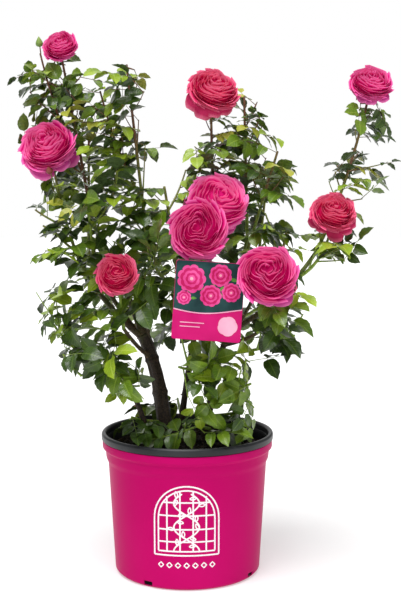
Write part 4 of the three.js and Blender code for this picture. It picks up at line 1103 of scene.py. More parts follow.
# place of each leaflet: share of the stalk back from its end, hand, turn in degrees, size
LEAFLET_PLACES = [
    (0.0, 0, 0, 1.08), (PAIR_BACK, 1, 64, 0.97), (PAIR_BACK, -1, 64, 0.97),
    (2 * PAIR_BACK, 1, 70, 0.82), (2 * PAIR_BACK, -1, 70, 0.82)]


def best_leaf(start, ways, normals, away, size, key, step, high, taken):
    """Way, normal, size and middle of a compound leaf: of the ways round the stem that are free, the
    one that leads out most, with some chance; if none is free, a smaller leaf, twice."""
    for attempt in range(3):
        best, best_score = None, -9.0
        for trial, (way, normal) in enumerate(zip(ways, normals)):
            score = (way @ away) * (0.9 - 0.65 * high)
            score += chance(key, step, 46 + attempt * LEAF_TRIALS + trial)
            if score <= best_score:
                continue
            joint = start + way * STALK_LENGTH * size
            middle = joint - way * STALK_LENGTH * size * PAIR_BACK
            reach = LEAFLET_LENGTH * size
            side = np.cross(normal, way)
            probes = np.array([joint, joint + way * reach, middle + side * reach * 0.9,
                               middle - side * reach * 0.9, middle + side * reach * 0.5,
                               middle - side * reach * 0.5, joint + way * reach * 0.5])
            near = len(taken) and np.linalg.norm(taken - middle, axis=1).min() < LEAF_APART * size
            if (not near and is_leafy(probes).all()
                    and is_free(probes, LEAF_MARGIN, LEAF_IN_BLOOM, ()).all()):
                best, best_score = (way, normal, size, middle), score
        if best:
            return best
        size *= LEAF_SMALLER
    return None


def leaf_spots():
    """Foot, way, normal, size, key, height and stem of every compound leaf. Each spot tries a few
    ways round its stem. With `hang` leaves get larger, lie lower and face outwards; with `high` they
    get a little smaller."""
    found, taken = [], np.zeros((0, 3))
    for number, axis in enumerate(carriers + fine_twigs):
        first = FINE_FIRST if number >= len(carriers) else LEAF_FIRST
        steps = max(1, round(axis.length * (1 - first) / LEAF_SPACING))
        key = number * 0.371 + 0.13
        for step in range(steps):
            t = min(1.0, first + (1 - first) * (step + 0.9) / steps)
            start = axis.at(t)
            hang = np.clip((440 - start[2]) / 160, 0, 1) * (start[2] > 275)
            high = np.clip((start[2] - 560) / 120, 0, 1)
            size = (0.86 + 0.34 * chance(key, step, 41)) * (1.0 + 0.20 * hang - 0.10 * high)
            turns = 2 * math.pi * (chance(key, step, 42) + step * TURN_SHARE
                                   + np.arange(LEAF_TRIALS) / LEAF_TRIALS)
            ends = step == steps - 1 and axis.radii[0] < STEM_RADII[0]
            rise = np.full(LEAF_TRIALS, math.radians(36 if ends else 24 - 32 * hang))
            ways = unit(leaving(axis.along(t), turns, rise) - UP * (0.22 + 0.22 * hang))
            away = unit(np.array([start[0], start[1] - 40.0, 0.0]))
            scatter = np.array([chance(key, step, 43), chance(key, step, 44), 0.5]) - 0.5
            tilt = UP * (1 - 0.5 * hang) + away * (0.46 + 0.86 * hang) + scatter * 0.9
            normals = unit(tilt - ways * (ways * tilt).sum(-1, keepdims=True))
            best = best_leaf(start, ways, normals, away, size, key, step, high, taken)
            if best:
                way, normal, size, middle = best
                found.append((start, way, normal, size, key + step * 0.77, start[2], number))
                taken = np.concatenate([taken, [middle]])
    return found


def leaflet_grid(length, width, rows):
    """Half outline of a leaflet: rows from foot to tip with the half width at each, pointed at the
    tip and toothed by letting every other row stand out and lean forward."""
    s = np.linspace(0.0, 1.0, rows + 2)[1:-1] ** 1.08
    half = width / 2 * np.sin(math.pi * s ** 0.84) ** 0.56 * (1 - 0.10 * s ** 3)
    standing = np.arange(rows) % 2 == 0
    lean = np.where(standing, 0.018, -0.006) * length
    return s * length, half * np.where(standing, 1.0, 0.965), lean


def leaflets(foot, way, normal, size, curl, cup):
    """All leaflets as one array, in metres: each is a grid of rows and five columns (edge, half,
    rib, half, edge). Across, the halves rise from the rib by `cup`; along, the blade droops by
    `curl` times the square of the way; the edge ripples and the halves are quilted."""
    forward, half, lean = leaflet_grid(LEAFLET_LENGTH, LEAFLET_WIDTH, LEAFLET_ROWS)
    across = np.array([-1.0, -0.5, 0.0, 0.5, 1.0])
    along = forward[:, None] + np.abs(across)[None] ** 2 * lean[:, None]
    wide = half[:, None] * across[None]
    share = forward / LEAFLET_LENGTH
    droop = curl[:, None, None] * (share ** 2)[None, :, None] * LEAFLET_LENGTH
    ripple = 0.7 * np.sin(share * 15)[None, :, None] * np.abs(across)[None, None] ** 2
    quilt = -0.45 * np.sin(share * 24)[None, :, None] * (np.abs(across) == 0.5)[None, None]
    rise = cup[:, None, None] * np.abs(wide)[None] - droop + ripple + quilt
    side = np.cross(normal, way)
    grid = foot[:, None, None] + size[:, None, None, None] * (
        along[None, ..., None] * way[:, None, None] + wide[None, ..., None] * side[:, None, None]
        + rise[..., None] * normal[:, None, None])
    tip = foot + size[:, None] * LEAFLET_LENGTH * (way * 1.05 - normal * curl[:, None])
    points = np.concatenate([grid.reshape(len(foot), -1, 3), foot[:, None], tip[:, None]], axis=1)
    u = np.concatenate([np.tile(across * 0.5 + 0.5, LEAFLET_ROWS), [0.5, 0.5]])
    v = np.concatenate([np.repeat(share, 5), [0.0, 1.0]])
    return points.reshape(-1, 3) / 1000, np.tile(np.stack([u, v], axis=-1), (len(foot), 1))


def leaflet_faces(count):
    """Quads between the rows and fans at foot and tip, for that many leaflets."""
    size, last, k = LEAFLET_ROWS * 5 + 2, (LEAFLET_ROWS - 1) * 5, np.arange(4)
    fans = np.concatenate([np.stack([np.full(4, size - 2), k, k + 1], axis=-1),
                           np.stack([np.full(4, size - 1), last + k + 1, last + k], axis=-1)])
    return [repeated(quads_of(LEAFLET_ROWS, 5), size, count), repeated(fans, size, count)]


def spray_of(spots):
    """Leaflets and stalks of the compound leaves. The stalk bows down a little; a leaflet stands at
    its end, a pair a third of the way back and, on most large leaves, another pair further back,
    each on a short foot."""
    start, way, normal, size, key, _, _ = (np.array(column) for column in zip(*spots))
    side = np.cross(normal, way)
    has_five = (size > 0.80) & (chance(key, 8.0, 52) < 0.75)
    sets = []
    for back, hand, turn_deg, grow in LEAFLET_PLACES:
        wobble = (chance(key, 50 + back + hand, 51) - 0.5) * 0.45
        turn = math.radians(turn_deg) * hand + wobble
        lean = 0.30 * (chance(key, 60 + back + hand, 61) - 0.5)
        forward = unit(way * np.cos(turn)[:, None] + side * np.sin(turn)[:, None]
                       + normal * (lean - 0.20 * abs(hand))[:, None])
        up = unit(normal + side * (0.5 * (chance(key, 70 + back, hand) - 0.5))[:, None])
        up = unit(up - forward * (forward * up).sum(-1, keepdims=True))
        joint = start + ((way * STALK_LENGTH - normal * 1.2) * (size * (1 - back))[:, None])
        foot = joint + forward * (2.4 * size)[:, None]
        scale = grow * size * (0.92 + 0.16 * chance(key, 80 + back, hand + 3))
        curl = 0.14 + 0.34 * chance(key, 90 + back, hand + 5)
        cup = 0.14 + 0.34 * chance(key, 95 + back, hand + 7)
        keep = has_five if back > PAIR_BACK else np.ones(len(size), bool)
        sets.append([part[keep] for part in (foot, forward, up, scale, curl, cup, joint)])
    return [np.concatenate(parts) for parts in zip(*sets)], (start, way, normal, size)


def stalk_tubes(start, way, normal, size, reach, radius, bow):
    """Three-sided tapering stalks in metres, straight but for a bow against the normal, as one
    array."""
    t = np.linspace(0, 1, 5)
    centre = (start[:, None] + way[:, None] * (reach * size)[:, None, None] * t[None, :, None]
              - normal[:, None] * (bow * size)[:, None, None] * (t ** 2)[None, :, None])
    side = np.cross(normal, way)
    turn = 0.5 + 2 * math.pi / 3 * np.arange(3)
    thick = radius * (1 - 0.45 * t)
    ring = centre[:, :, None] + thick[None, :, None, None] * (
        np.cos(turn)[None, None, :, None] * side[:, None, None]
        + np.sin(turn)[None, None, :, None] * normal[:, None, None])
    return (ring.reshape(-1, 3) / 1000,
            repeated(quads_of(5, 3, round_columns=True), 15, len(start)),
            repeated(np.array([[0, 1, 2], [14, 13, 12]]), 15, len(start)))


def vein_group():
    """Rib and side veins of a leaflet, over its own uv (u across, v along): a line down the middle
    and slanting lines every eighth of its length, as a mask and a height."""
    group, _, out = shader_group("leaf_veins", {}, {
        "Veins": "NodeSocketFloat", "Height": "NodeSocketFloat"})
    nodes, link = group.nodes, group.links.new

    def work(operation, first, second, third=None):
        """Math node whose inputs are sockets or numbers."""
        node = nodes.new("ShaderNodeMath")
        node.operation = operation
        for k, value in enumerate((first, second, third)):
            if value is None:
                continue
            if isinstance(value, (int, float)):
                node.inputs[k].default_value = value
            else:
                link(value, node.inputs[k])
        return node.outputs[0]

    place = nodes.new("ShaderNodeUVMap")
    place.uv_map = "UVMap"
    split = nodes.new("ShaderNodeSeparateXYZ")
    link(place.outputs["UV"], split.inputs[0])
    off = work("ABSOLUTE", work("SUBTRACT", split.outputs["X"], 0.5), 0.0)
    rib = work("LESS_THAN", off, 0.035)
    slant = work("SUBTRACT", split.outputs["Y"], work("MULTIPLY", off, 0.55))
    eighths = work("FRACT", work("MULTIPLY", slant, 8.0), 0.0)
    saw = work("ABSOLUTE", work("SUBTRACT", eighths, 0.5), 0.0)
    vein = work("MULTIPLY", work("SUBTRACT", 1.0, work("MULTIPLY", saw, 7.0)), 0.55)
    mask = work("MAXIMUM", rib, work("MAXIMUM", vein, 0.0))
    link(mask, out.inputs["Veins"])
    link(work("SUBTRACT", 1.0, mask), out.inputs["Height"])
    return group


leaf_veins = vein_group()


def leaf_green(name, deep, bright, vein, roughness):
    """Semi-gloss leaf: two greens in patches, paler veins and a dull, paler underside."""
    material, shader = new_material(name, roughness, specular=0.50)
    nodes, link = material.node_tree.nodes, material.node_tree.links.new
    mottle = add_mottle(material, 34.0, 260.0)
    veins = nodes.new("ShaderNodeGroup")
    veins.node_tree = leaf_veins
    blade = mix_colours(material, mottle.outputs["Patches"], deep, bright, 0.34, 0.66)
    top = mix_colours(material, veins.outputs["Veins"], blade, vein, 0.0, 1.7)
    dull_deep = tuple(0.9 * part + 0.012 for part in deep)
    dull_bright = tuple(0.9 * part + 0.03 for part in bright)
    under = mix_colours(material, mottle.outputs["Specks"], dull_deep, dull_bright, 0.3, 0.7)
    geometry = nodes.new("ShaderNodeNewGeometry")
    tone = mix_colours(material, geometry.outputs["Backfacing"], top, under)
    link(tone, shader.inputs["Base Color"])
    add_bump(material, shader, veins.outputs["Height"], 0.35, 0.0008)
    return material


# tint, deep and bright green, veins, roughness. The four tints run from a shaded to a lit copy of
# one leaf green: painted shade and light.
LEAF_TINTS = [
    ("deep", (0.015, 0.038, 0.003), (0.042, 0.090, 0.006), (0.11, 0.18, 0.022), 0.31),
    ("middle", (0.058, 0.122, 0.006), (0.145, 0.240, 0.011), (0.26, 0.37, 0.05), 0.30),
    ("bright", (0.180, 0.285, 0.010), (0.320, 0.440, 0.022), (0.44, 0.56, 0.10), 0.31),
    ("golden", (0.270, 0.310, 0.018), (0.420, 0.420, 0.045), (0.52, 0.50, 0.12), 0.38),
]
TINT_BORDERS = [0.36, 0.68, 0.93]
carriers = [axis for shoot in shoots
            for axis in (shoot["stem"], *shoot["leaders"], *shoot["twigs"])]
spots = leaf_spots()
young_wood_material = young_wood()
leafy = {spot[6] for spot in spots}
held_up = np.array(
    [spot[0] for spot in spots] + [shoots[bloom[0] - 1]["stem"].at(1.0) for bloom in blooms]
    + [shoot["leaders"][0].at(1.0) for shoot in shoots[:2]]
    + [axis.ends[0] for number, axis in enumerate(carriers + fine_twigs) if number in leafy])


def last_use(axis):
    """Share of a stem's length at which the last leaf, twig or bloom that it holds up stands."""
    t = np.linspace(0, 1, 161)
    gap = np.linalg.norm(held_up[:, None] - axis.at(t)[None], axis=-1).min(axis=0)
    return float(t[gap < 2.0].max(initial=0.0))


def tint_numbers():
    """Tint of each leaf, from deep to golden: by chance, and by painted shade and light, deeper in
    the shaded heart of the crown and at its foot, brighter towards the top and just over the foot."""
    keys, heights = (np.array([spot[k] for spot in spots]) for k in (4, 5))
    across = np.array([spot[0][0] for spot in spots])
    heart = (np.exp(-((across - 10) / 70) ** 2) * np.clip((620 - heights) / 60, 0, 1)
             * np.clip((heights - 350) / 50, 0, 1))
    # Painted shade and light: deeper in the heart of the crown and at its foot, brighter towards the
    # top and just over the foot.
    deal = chance(keys, 7.7, 101) - 0.34 * heart + 0.10 * np.clip((heights - 640) / 250, -1, 1)
    deal += 0.16 * np.clip((430 - heights) / 80, 0, 1) - 0.36 * np.clip((300 - heights) / 40, 0, 1)
    return np.digitize(deal, TINT_BORDERS)


drawn_stems = []
for number, axis in enumerate(carriers):
    reach = last_use(axis)
    if (number in leafy or axis.radii[0] > TWIG_RADII[0]) and reach > 0.1:
        drawn_stems.append(axis.up_to(min(1.0, reach + 0.01)))
shoot_tubes = [tube(stem, 8, 18, 0.3, stem.owner + 0.3, stout=SHOOT_STOUT) for stem in drawn_stems]
shoot_tubes += [tube(twig, 6, 7, 0.0, twig.owner) for number, twig in enumerate(fine_twigs)
                if number + len(carriers) in leafy]
stem_points, stem_faces = joined_tubes(shoot_tubes)
leafy_shoots = put_piece("rose_shoots", stem_points, stem_faces, young_wood_material)
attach(leafy_shoots, "root")

tint_of = tint_numbers()
stalk_parts = []
for number, (tint, deep, bright, vein, roughness) in enumerate(LEAF_TINTS):
    chosen = [spot for spot, own in zip(spots, tint_of) if own == number]
    (foot, forward, up, scale, curl, cup, joint), stems = spray_of(chosen)
    stalk_parts.append(stalk_tubes(*stems, STALK_LENGTH, 0.75, 1.2))
    stalk_parts.append(stalk_tubes(joint, forward, up, scale, 3.6, 0.45, 0.0))
    blade_points, blade_uv = leaflets(foot, forward, up, scale, curl, cup)
    blades = put_piece(f"rose_leaves_{tint}", blade_points, leaflet_faces(len(foot)),
                       leaf_green(f"leaf_{tint}", deep, bright, vein, roughness), uv=blade_uv)
    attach(blades, "root")
    if tint == "deep":
        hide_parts(*[entry[0] for entry in SHOOTS])
stalk_points, stalk_faces = joined_tubes(stalk_parts)
leaf_stalks = put_piece("rose_leaf_stalks", stalk_points, stalk_faces, young_wood_material)
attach(leaf_stalks, "root")

# ============================================================ prickles
# Short hooked prickles, red-brown and broad at the foot, scattered over canes, boughs and the longer
# shoots. They are part of the bark and sit in it by a seventh of the limb's radius.
PRICKLE_STEP = 17.0
PRICKLE_LENGTH = 5.2
PRICKLED_FROM = 70
PRICKLE_FACES = np.array([
    [0, 1, 5], [1, 2, 6], [2, 3, 6], [3, 0, 5], [0, 5, 4], [5, 1, 6], [5, 6, 4], [6, 3, 4],
    [3, 5, 4], [3, 2, 1], [3, 1, 0]])


def prickles():
    """Four-sided hooks: a foot lozenge on the bark, longer along the limb, two points half way out,
    and a tip that leans down by a third of its length."""
    shapes = []
    longer_stems = [stem for stem in drawn_stems if stem.length > PRICKLED_FROM]
    for number, axis in enumerate([*limbs.values(), *longer_stems]):
        count = int(axis.length / PRICKLE_STEP)
        step = np.arange(count, dtype=float)
        t = 0.06 + 0.88 * (step + chance(number + 0.5, step, 31)) / max(1, count)
        along = axis.along(t)
        out = leaving(along, 2 * math.pi * chance(number + 0.2, step, 32), np.zeros(count))
        side = np.cross(along, out)
        radius = axis.thick(t)[:, None]
        size = PRICKLE_LENGTH * (0.45 + 0.55 * chance(number, step, 33))[:, None]
        size = size * np.clip(radius / 3.0, 0.45, 1.0)
        foot = axis.at(t) + out * radius * 0.86
        shapes.append(np.stack([
            foot + along * size * 0.55, foot + side * size * 0.16,
            foot - along * size * 0.45, foot - side * size * 0.16,
            foot + out * size * 0.9 - along * size * 0.30,
            foot + out * size * 0.45 + along * size * 0.02 + side * size * 0.05,
            foot + out * size * 0.45 - along * size * 0.28 - side * size * 0.05], axis=1))
    points = np.concatenate(shapes)
    return points.reshape(-1, 3) / 1000, repeated(PRICKLE_FACES, 7, len(points))


def prickle_horn():
    """Horny prickles, dark red paling to straw."""
    return two_tone("prickle_horn", 0.4, 0.5, (60.0, 300.0), (0.16, 0.030, 0.020),
                    (0.38, 0.20, 0.10), (0.35, 0.7))


prickle_points, prickle_faces = prickles()
prickle_piece = put_piece("rose_prickles", prickle_points, [prickle_faces], prickle_horn(),
                          smooth=False)
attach(prickle_piece, "root")

# ============================================================ blooms
# Full cupped roses of a hundred petals: guard petals that bend back, rows that open one behind the
# other, and a heart of folded petals. Each petal is a thin ruffled shell on a green hip with sepals.
PETAL_ROWS, PETAL_COLUMNS = 8, 9
PETAL_COUNT = 100
GOLDEN_TURN = 2.39996


def across_bloom(faces):
    """Two unit directions square to the way a bloom faces and to each other."""
    side = unit(np.cross(faces, np.array([0.1, 0.3, 1.0])))
    return side, np.cross(faces, side)


def petals_of(centre, faces, radius, key, guards):
    """All petals of one bloom of radius R. Their rims stand on a dome: with p from 0 at the heart to
    1 at the outside and q about 0.12 + 2 p, a rim lies at radius 0.85 R sin q, in and out by folds,
    and at height R cos q / 2. Each petal spans an arc, leaves the hip, swells out to its rim, rolls
    outwards there and ruffles. The heart is pushed aside. Guard petals hang from the lowest side."""
    side, other = across_bloom(faces)
    k = np.arange(PETAL_COUNT, dtype=float)
    p = ((k + 0.5) / PETAL_COUNT) ** 0.86
    q = 0.12 + 2.0 * p + 0.10 * (chance(key, k, 113) - 0.5)
    turn = k * GOLDEN_TURN + 6 * chance(key, 1.0, 111) + 0.7 * chance(key, k, 112)
    arc = 0.92 - 0.28 * p + 0.30 * (chance(key, k, 114) - 0.5)
    phase = 6.28 * chance(key, k, 116)
    twist = 0.10 + (1 - p) * 0.75 * (chance(key, k, 124) - 0.35)
    p, q, turn, arc, phase, twist = (
        value[:, None, None] for value in (p, q, turn, arc, phase, twist))
    u = np.linspace(-1, 1, PETAL_COLUMNS)[None, None]
    v = np.linspace(0, 1, PETAL_ROWS)[None, :, None]
    angle = turn + arc * u * (0.45 + 0.55 * np.sin(v * math.pi / 2))
    wander = sum(share * np.cos(times * angle + 6.28 * chance(key, times, 119))
                 for times, share in ((2, 0.11), (3, 0.11), (5, 0.08)))
    folds = 1 + np.exp(-((p - 0.20) / 0.22) ** 2) * wander
    open_out = np.clip((p - 0.25) / 0.5, 0, 1)
    rim_radius = radius * 0.85 * np.sin(q) * folds
    rim_height = radius * 0.50 * np.cos(q)
    ruffle = np.sin((2.2 + 2.2 * p) * u * 1.6 + phase)
    swell = np.sin(v * math.pi / 2) ** 0.7
    reach = rim_radius * (0.35 + 0.65 * swell) * (1 + twist * u * v)
    reach = reach + radius * (0.115 * open_out * v ** 6 + 0.028 * ruffle * v ** 3 * (0.4 + 0.6 * p))
    foot = -radius * 0.44 * (0.55 + 0.45 * p)
    shape = 1 - 0.16 * np.abs(u) ** 3 * (1 - 0.4 * p) - 0.05 * np.exp(-(u / 0.2) ** 2) * p
    height = foot + (rim_height - foot) * v ** 1.2 * shape
    height = height - radius * (0.085 * open_out * v ** 7 - 0.022 * ruffle * v ** 4)
    aside = 0.06 * radius * (1 - p) ** 1.6 * (v + 0.2)
    lean = math.atan2(other[2], side[2]) + 1.6 * (chance(key, 3.0, 118) - 0.5)
    flat_x = reach * np.cos(angle) + aside * math.cos(lean)
    flat_y = reach * np.sin(angle) + aside * math.sin(lean)
    # The last of each set is the share of the darker mauve tone: rising over the outer rows, full on
    # the guard petals.
    sets = [(flat_x, flat_y, height, np.clip((p - 0.72) * 2.2, 0, 0.6) * np.ones_like(height))]
    if guards:
        g = np.arange(guards, dtype=float)[:, None, None]
        down = math.atan2(-other[2], -side[2])
        turn = down + (g - (guards - 1) / 2) * 0.72 + 0.35 * (chance(key, g, 121) - 0.5)
        phase = 6.28 * chance(key, g, 122)
        angle = turn + (0.34 + 0.16 * np.sin(v * 2.6)) * u * 1.05
        droop = 0.18 + 0.42 * chance(key, g, 117)
        reach = radius * (0.30 + (0.62 + 0.22 * chance(key, g, 123)) * np.sin(v * 1.45)
                          + 0.05 * np.sin(4 * u + phase) * v) * (1 - 0.20 * u ** 2 * v ** 2)
        height = radius * (-0.44 + 0.26 * np.sin(v * 2.3) - droop * v ** 1.9
                           + 0.06 * np.sin(5 * u + phase) * v ** 2)
        sets.append((reach * np.cos(angle), reach * np.sin(angle), height, np.ones_like(reach * u)))
    flat_x, flat_y, height, mauve_share = (np.concatenate(parts) for parts in zip(*[
        [np.broadcast_to(part, (len(one[2]), PETAL_ROWS, PETAL_COLUMNS)) for part in one]
        for one in sets]))
    place = centre + flat_x[..., None] * side + flat_y[..., None] * other + height[..., None] * faces
    uv = np.stack(np.broadcast_arrays(u * 0.5 + 0.5, v), axis=-1)
    outer = np.concatenate([p.ravel() > 0.66, np.ones(guards, bool)])
    return place, np.broadcast_to(uv, (len(place), PETAL_ROWS, PETAL_COLUMNS, 2)), mauve_share, outer


def cushion_of(centre, faces, radius):
    """Mass of petal feet between the rims: four petal grids side by side that make one dome, at
    radius 0.74 R sin q and height R (0.42 cos q - 0.10). Its fixed uv puts it mostly in the painted
    shade of the petal folds, so the heart between the rims is painted as shade."""
    side, other = across_bloom(faces)
    q = np.linspace(0.0, 1.75, PETAL_ROWS)[None, :, None]
    turn = np.linspace(-1, 1, PETAL_COLUMNS)[None, None] * math.pi / 4
    turn = turn + np.arange(4)[:, None, None] * math.pi / 2
    reach = radius * 0.74 * np.sin(q)
    height = radius * (0.42 * np.cos(q) - 0.10) * np.ones_like(turn)
    place = (centre + (reach * np.cos(turn))[..., None] * side
             + (reach * np.sin(turn))[..., None] * other + height[..., None] * faces)
    # A fixed uv of 0.45 puts the cushion mostly in the deep fold colour: painted shade.
    return place, np.full((*place.shape[:3], 2), 0.45), np.zeros(place.shape[:3])


def petal_faces(count):
    """Quads of that many petal grids, outer side out."""
    return repeated(quads_of(PETAL_ROWS, PETAL_COLUMNS, flipped=True), PETAL_ROWS * PETAL_COLUMNS,
                    count)


def petal_group():
    """Painted shade and light of a petal over its own uv: painted shade, deep towards the foot, a
    pale line at the rim that is a painted highlight, and fine veins that run up it."""
    group, _, out = shader_group("petal_shade", {}, {
        "Depth": "NodeSocketFloat", "Rim": "NodeSocketFloat", "Height": "NodeSocketFloat"})
    nodes, link = group.nodes, group.links.new
    place = nodes.new("ShaderNodeUVMap")
    place.uv_map = "UVMap"
    split = nodes.new("ShaderNodeSeparateXYZ")
    link(place.outputs["UV"], split.inputs[0])
    # Depth is painted shade towards each petal's foot, Rim a painted highlight along its rim.
    for label, low, high, first, last in (("Depth", 0.35, 0.95, 1.0, 0.0),
                                          ("Rim", 0.82, 1.0, 0.0, 1.0)):
        reach = nodes.new("ShaderNodeMapRange")
        reach.inputs["From Min"].default_value = low
        reach.inputs["From Max"].default_value = high
        reach.inputs["To Min"].default_value = first
        reach.inputs["To Max"].default_value = last
        link(split.outputs["Y"], reach.inputs["Value"])
        link(reach.outputs["Result"], out.inputs[label])
    wave = nodes.new("ShaderNodeTexWave")
    wave.inputs["Scale"].default_value = 9.0
    wave.inputs["Distortion"].default_value = 2.5
    link(place.outputs["UV"], wave.inputs["Vector"])
    link(wave.outputs["Fac"], out.inputs["Height"])
    return group


petal_shade = petal_group()


def petal_skin(name, deep, body, pale, mauve_tone, glow):
    """Velvety petal: body colour, with painted shade deeper in the folds and a painted highlight
    paler at the rim, and a darker mauve on the guard petals and outer rows. A little of its own
    colour glows, as light does through petals."""
    material, shader = new_material(name, 0.62, specular=0.06)
    nodes, link = material.node_tree.nodes, material.node_tree.links.new
    shade = nodes.new("ShaderNodeGroup")
    shade.node_tree = petal_shade
    mottle = add_mottle(material, 60.0, 400.0)
    ground = mix_colours(material, mottle.outputs["Patches"], body,
                         tuple(0.80 * part for part in body), 0.35, 0.7)
    # Painted shade: the deep colour towards each petal's foot, in the folds.
    folded = mix_colours(material, shade.outputs["Depth"], ground, deep)
    # A darker mauve on the outer rows and the guard petals.
    mauve = mix_colours(material, own_number(material, "mauve_share"), folded, mauve_tone)
    # Painted highlight: a paler line along each rim.
    tone = mix_colours(material, shade.outputs["Rim"], mauve, pale, 0.0, 1.25)
    link(tone, shader.inputs["Base Color"])
    link(tone, shader.inputs["Emission Color"])
    shader.inputs["Emission Strength"].default_value = glow
    add_bump(material, shader, shade.outputs["Height"], 0.10, 0.0006)
    return material


# deep folds (painted shade), body, pale rim (painted highlight), mauve tone, glow
PETAL_TINTS = {
    ("pink", "heart"): ((0.35, 0.001, 0.070), (0.80, 0.006, 0.240), (0.96, 0.26, 0.55),
                        (0.80, 0.006, 0.240), 0.08),
    ("pink", "outer"): ((0.38, 0.002, 0.095), (0.74, 0.010, 0.255), (0.92, 0.23, 0.54),
                        (0.44, 0.036, 0.205), 0.04),
    ("coral", "heart"): ((0.35, 0.001, 0.042), (0.76, 0.013, 0.135), (0.94, 0.25, 0.39),
                         (0.76, 0.013, 0.135), 0.08),
    ("coral", "outer"): ((0.38, 0.004, 0.055), (0.75, 0.022, 0.150), (0.92, 0.22, 0.36),
                         (0.52, 0.024, 0.105), 0.04),
    ("rose", "heart"): ((0.42, 0.003, 0.100), (0.92, 0.016, 0.320), (0.98, 0.34, 0.62),
                        (0.92, 0.016, 0.320), 0.13),
    ("rose", "outer"): ((0.42, 0.004, 0.130), (0.86, 0.018, 0.330), (0.96, 0.32, 0.62),
                        (0.62, 0.050, 0.290), 0.09),
}
# by number of the shoot: lift over its tip in radii, nod, share of the full size
PETAL_LIFTS = {15: -0.14, 20: 0.02, 1: 0.22, 11: 0.12, 9: -0.38, 2: 0.16, 10: 0.25}
PETAL_NODS = {15: -0.40, 11: 0.20, 10: 0.16, 2: 0.42, 1: 0.05, 21: 0.05, 20: 0.0, 4: 0.05,
              19: -0.05}
PETAL_SHARES = {15: 0.93, 1: 0.94, 20: 0.92, 10: 0.96, 21: 0.92, 9: 0.9, 4: 0.92}
petal_sets = {key: [] for key in PETAL_TINTS}
nodding = []
for key, centre, faces, radius, tint, guards in blooms:
    centre = centre + UP * PETAL_LIFTS.get(key, 0.20) * radius
    faces = unit(faces * np.array([1.0, 1.0, 1 - PETAL_NODS.get(key, 0.15)]))
    radius = radius * PETAL_SHARES.get(key, 1.0)
    nodding.append((key, centre, faces, radius))
    place, uv, mauve_share, outer = petals_of(centre, faces, radius, key, guards)
    petal_sets[tint, "heart"].append((place[~outer], uv[~outer], mauve_share[~outer]))
    petal_sets[tint, "outer"].append((place[outer], uv[outer], mauve_share[outer]))
    petal_sets[tint, "heart"].append(cushion_of(centre, faces, radius))
for (tint, part), members in petal_sets.items():
    place, uv, mauve_share = (np.concatenate(parts) for parts in zip(*members))
    piece = put_piece(f"rose_petals_{tint}_{part}", place.reshape(-1, 3) / 1000,
                      [petal_faces(len(place))],
                      petal_skin(f"petal_{tint}_{part}", *PETAL_TINTS[tint, part]),
                      uv=uv.reshape(-1, 2), attributes={"mauve_share": mauve_share.ravel()})
    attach(piece, "root")

# ============================================================ hips, sepals and buds
# Under each bloom a round green hip carries five narrow sepals that bend back. Two shoots end in a
# closed bud, one green, one showing dark red.
SEPALS, SEPAL_ROWS = 5, 7
# tip of the stalk, its foot, width and length of the bud
BUDS = [((-236, 24, 848), (-235, 26, 837), 6.5, 17.0),
        ((-210, -66, 646), shoots[0]["stem"].at(0.66), 6.0, 13.0)]


def hip_and_sepals(centre, faces, radius, key):
    """Hip: a small turned drop behind the bloom. Sepals: five narrow pointed blades that start at
    its top and curve back."""
    side, other = across_bloom(faces)
    profile = radius * softened([(0.0, -0.70), (0.10, -0.66), (0.17, -0.56), (0.13, -0.44),
                                 (0.0, -0.40)])
    angles = np.linspace(0, 2 * math.pi, 12, endpoint=False)
    points, faces_hip = turned(profile, angles, closed=False)
    hip = centre + points[:, :1] * side + points[:, 1:2] * other + points[:, 2:] * faces
    t = np.linspace(0, 1, SEPAL_ROWS)[:, None]
    across = np.array([-1.0, 0.0, 1.0])[None]
    blades = []
    for k in range(SEPALS):
        turn = 2 * math.pi * (k / SEPALS + chance(key, 3.0, 121))
        out = np.cos(turn) * side + np.sin(turn) * other
        cross = np.cross(faces, out)
        reach = radius * (0.12 + 0.62 * np.sin(t * 1.5))
        height = radius * (-0.47 - 0.04 * t - 0.30 * t ** 2.5)
        wide = radius * 0.105 * np.sin(math.pi * np.clip(0.12 + 0.88 * t, 0, 1)) ** 0.7 * across
        lift = radius * 0.02 * np.abs(across) * np.ones_like(t)
        blades.append(centre + reach[..., None] * out + (height + lift)[..., None] * faces
                      + wide[..., None] * cross)
    return (hip, faces_hip), np.stack(blades)


def bud_shape(tip, foot, width, length):
    """Closed bud: a turned drop, widest at a third of its height and pointed, on a short stalk."""
    tip, foot = np.asarray(tip, float), np.asarray(foot, float)
    along = unit(tip - foot)
    side = unit(np.cross(along, np.array([0.3, 0.9, 0.1])))
    other = np.cross(along, side)
    s = np.linspace(0, 1, 14)
    wide = width * np.sin(math.pi * s ** 0.62) ** 0.85 * (1 - 0.25 * s)
    profile = np.stack([wide, s * length], axis=-1)
    profile[0, 0] = profile[-1, 0] = 0.0
    points, quads = turned(profile, np.linspace(0, 2 * math.pi, 14, endpoint=False), closed=False)
    points[:, :2] *= (1 + 0.06 * np.sin(5 * np.arctan2(points[:, 1], points[:, 0])))[:, None]
    return tip + points[:, :1] * side + points[:, 1:2] * other + points[:, 2:] * along, quads


